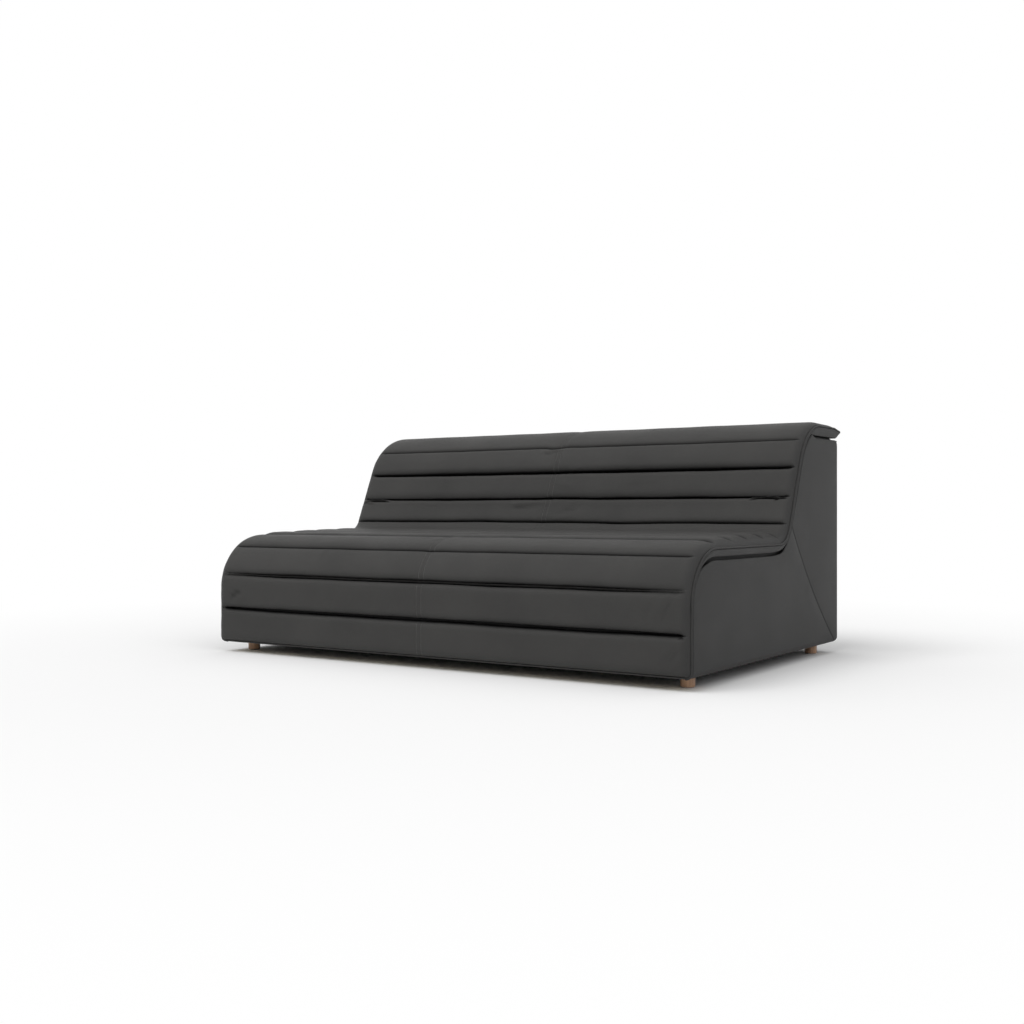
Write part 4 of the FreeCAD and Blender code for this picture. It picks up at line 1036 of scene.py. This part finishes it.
rear_line = Path([(FLAP_START + 0.003, BODY_TOP), (REAR, BODY_TOP, REAR_ROUND),
                  (REAR, LOW, LOW_ROUND), (REAR - UNDER_TURN, LOW)])
REAR_END = COVER_FACE - 0.0032
REAR_ROLL = 0.0042
REAR_BULGE = 0.0025
REAR_SEAM_DRAW = 0.0020
REAR_SEAM_WIDTH = 0.0018
REAR_THICKNESS = COVER_THICKNESS * 0.8
UNDER_FLAP_ALONG = 0.17
half = shares_of(REAR_END - 0.0004, COVER_PITCH) * (REAR_END - 0.0004)
along = np.concatenate([np.arange(0, 0.19, 0.012), np.arange(0.19, 0.226, 0.004),
                        np.arange(0.235, rear_line.length - 0.05, 0.016),
                        np.arange(rear_line.length - 0.045, rear_line.length, 0.003)])
across = np.concatenate([-half[::-1] - 0.0002, half + 0.0002])
along_grid, across_grid = np.meshgrid(along, across, indexing="ij")
from_end = REAR_END - np.abs(across_grid)
from_middle = np.abs(across_grid)
rolled = np.clip(1 - from_end / REAR_ROLL, 0, 1)
height = -REAR_ROLL * (1 - np.sqrt(1 - rolled ** 2))
puffed = smooth(from_end, 0, 0.15) * smooth(from_middle, 0, 0.12) * smooth(along_grid, 0.2, 0.4)
height += REAR_BULGE * puffed
height -= REAR_SEAM_DRAW * bell(from_middle / REAR_SEAM_WIDTH)
height += 0.0006 * wander_of(across_grid, along_grid, 5.0, 21.0) * smooth(from_end, 0, 0.03)
under_flap = smooth(from_end, 0.003, 0.010) * (along_grid < UNDER_FLAP_ALONG)
height += (FLAP_UNDER - BODY_TOP - 0.0004) * under_flap
y, z = rear_line.at(along_grid, height)
draw_in = corner_of(z - LOW) * smooth(np.abs(across_grid), REAR_END - CORNER_REACH, REAR_END)
rear, row, column = grid_piece("back_cover", across_grid - np.sign(across_grid) * draw_in, y, z)
face_out(rear, 1, 1)
held = (from_end[row, column] < 0.003) | (from_middle[row, column] < 0.001)
held |= (along[row] < 0.2) | (along[row] > rear_line.length - 0.04)
inflate(rear, held, pressure=0.4, spare=0.0, reach=0.0015, last=10)
rear_points = points_of(rear)
rear_rows = [rear_points[column == index][np.argsort(row[column == index])] for index in
             (np.abs(across - STITCH_OUT).argmin(), np.abs(across + STITCH_OUT).argmin())]
wall = rear.modifiers.new("wadding", "SOLIDIFY")
wall.thickness = REAR_THICKNESS
wall.offset = -1
select_only(rear)
bpy.ops.object.modifier_apply(modifier="wadding")
finish_soft(rear, cover_leather, ["rear_cover"])
for number, line in enumerate(rear_rows):
    stitch_row(f"rear_stitches_{number + 1}", line, (-1, 0, 0))

# Frame and feet: softwood rails, plywood panels and turned beech feet keep the CAD's shapes and
# get their figure here, with the grain along each piece's longest side.

timber = bpy.data.node_groups.new("timber", "ShaderNodeTree")
group_socket(timber, "Place", "INPUT", "NodeSocketVector")
group_socket(timber, "Ring width", "INPUT", value=0.006)
group_socket(timber, "Figure", "OUTPUT")
group_socket(timber, "Height", "OUTPUT")
enter = timber.nodes.new("NodeGroupInput")
leave = timber.nodes.new("NodeGroupOutput")
rings_per_metre = sums(timber, "DIVIDE", 1.0, enter.outputs["Ring width"])
rings = node(timber, "ShaderNodeTexNoise", Vector=enter.outputs["Place"], Scale=rings_per_metre,
             Detail=4.0, Roughness=0.6, Distortion=0.5)
pores = node(timber, "ShaderNodeTexNoise", Vector=enter.outputs["Place"], Scale=1400.0, Detail=2.0)
figure = shared(timber, rings.outputs["Fac"], 0.72, pores.outputs["Fac"])
timber.links.new(figure, leave.inputs["Figure"])
timber.links.new(pores.outputs["Fac"], leave.inputs["Height"])


def wood(name, dark, pale, axis, ring=0.006, rough=0.62):
    """A wood with its grain along an axis."""
    made, tree, shader, place = new_look(name)
    drawn = node(tree, "ShaderNodeMapping", Vector=place,
                 Scale=[0.06 if number == axis else 1.0 for number in range(3)])
    cut = node(tree, "ShaderNodeGroup", {"node_tree": timber}, Place=drawn.outputs[0],
               Ring_width=ring)
    share = node(tree, "ShaderNodeMapRange", Value=cut.outputs["Figure"], From_Min=0.34,
                 From_Max=0.66)
    tree.links.new(blend(tree, share.outputs[0], dark, pale), shader.inputs["Base Color"])
    shader.inputs["Roughness"].default_value = rough
    feed_bump(tree, shader, cut.outputs["Height"], 0.4, 0.0002)
    return made


def plain(name, dark, pale, scale, rough, metal=0.0, depth=0.0003, kind="ShaderNodeTexNoise"):
    """A material whose colour and height follow one fine pattern."""
    made, tree, shader, place = new_look(name)
    pattern = node(tree, kind, Vector=place, Scale=scale)
    worth = pattern.outputs["Distance" if kind == "ShaderNodeTexVoronoi" else "Fac"]
    tree.links.new(blend(tree, worth, dark, pale), shader.inputs["Base Color"])
    shader.inputs["Roughness"].default_value = rough
    shader.inputs["Metallic"].default_value = metal
    feed_bump(tree, shader, worth, 0.5, depth)
    return made


WOODS = {"softwood": ((0.50, 0.35, 0.20, 1), (0.76, 0.61, 0.41, 1), 0.0070, 0.66),
         "plywood": ((0.42, 0.30, 0.18, 1), (0.68, 0.53, 0.36, 1), 0.0110, 0.68),
         "foot_wood": ((0.30, 0.165, 0.095, 1), (0.50, 0.305, 0.190, 1), 0.0036, 0.48)}
PLAINS = {
    "foam": plain("cream foam", (0.70, 0.62, 0.44, 1), (0.88, 0.82, 0.66, 1), 700.0, 0.95,
                  depth=0.0006, kind="ShaderNodeTexVoronoi"),
    "spring_steel": plain("drawn spring wire", (0.22, 0.22, 0.23, 1), (0.42, 0.42, 0.43, 1),
                          500.0, 0.34, metal=1.0, depth=0.0001),
    "zinc_steel": plain("zinc plated steel", (0.48, 0.48, 0.46, 1), (0.72, 0.72, 0.70, 1), 300.0,
                        0.40, metal=1.0, depth=0.0001),
    "under_cloth": plain("black non-woven cloth", (0.016, 0.016, 0.016, 1),
                         (0.045, 0.045, 0.045, 1), 1100.0, 0.92),
    "webbing": plain("woven elastic webbing", (0.12, 0.105, 0.085, 1), (0.36, 0.32, 0.26, 1),
                     900.0, 0.85, depth=0.0005),
    "felt": plain("pressed felt", (0.18, 0.165, 0.15, 1), (0.40, 0.375, 0.345, 1), 1500.0, 0.97,
                  depth=0.0005)}

for entry in frame["record"]["subparts"]:
    kept = frame["nodes"][entry["node"]]
    slot_name = entry["material_slot"]
    look = PLAINS.get(slot_name)
    if slot_name in WOODS:
        low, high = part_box(entry["node"])
        sides = [high[axis] - low[axis] for axis in range(3)]
        axis = sides.index(max(sides)) if slot_name != "foot_wood" else 2
        name = f"{slot_name} along {'xyz'[axis]}"
        look = bpy.data.materials.get(name) or wood(name, WOODS[slot_name][0], WOODS[slot_name][1],
                                                    axis, *WOODS[slot_name][2:])
    if look is not None:
        for holder in kept.material_slots:
            holder.material = look

# Under cloth: thin black non-woven cloth stapled under the frame against dust, sagging a little
# between its staples, with a round hole cut for each foot.

CLOTH_SAG = 0.003
CLOTH_THICKNESS = 0.0005
CLOTH_INSET = 0.0004
CLOTH_RIPPLE = 0.0006
FOOT_CLEARANCE = 0.0008
FEET = ["foot_front_right", "foot_front_left", "foot_rear_right", "foot_rear_left"]
cloth_low, cloth_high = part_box("under_cloth")
x, y = np.meshgrid(np.linspace(cloth_low.x, cloth_high.x, 122),
                   np.linspace(cloth_low.y, cloth_high.y, 76))
inset = np.minimum(np.minimum(x - cloth_low.x, cloth_high.x - x),
                   np.minimum(y - cloth_low.y, cloth_high.y - y))
z = cloth_high.z - CLOTH_INSET - CLOTH_SAG * smooth(inset, 0.03, 0.30)
z -= CLOTH_RIPPLE * smooth(inset, 0, 0.03) * (1 + np.sin(x * 41) * np.sin(y * 37)) / 2
dust, row, column = grid_piece("dust_cloth", x, y, z)
wall = dust.modifiers.new("cloth", "SOLIDIFY")
wall.thickness = CLOTH_THICKNESS
bpy.ops.object.modifier_apply(modifier="cloth")
feet = {name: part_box(name) for name in FEET}
for name, (foot_low, foot_high) in feet.items():
    bpy.ops.object.select_all(action="DESELECT")
    bpy.ops.mesh.primitive_cylinder_add(
        vertices=48, radius=(foot_high.x - foot_low.x) / 2 + FOOT_CLEARANCE, depth=0.05,
        location=((foot_low.x + foot_high.x) / 2, (foot_low.y + foot_high.y) / 2, cloth_low.z))
    punch = bpy.context.object
    hole = dust.modifiers.new("hole", "BOOLEAN")
    hole.operation = "DIFFERENCE"
    hole.object = punch
    select_only(dust)
    bpy.ops.object.modifier_apply(modifier="hole")
    select_only(punch)
    bpy.ops.object.delete()
select_only(dust)
dust.data.materials.append(PLAINS["under_cloth"])
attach(dust, "root")
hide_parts("under_cloth")
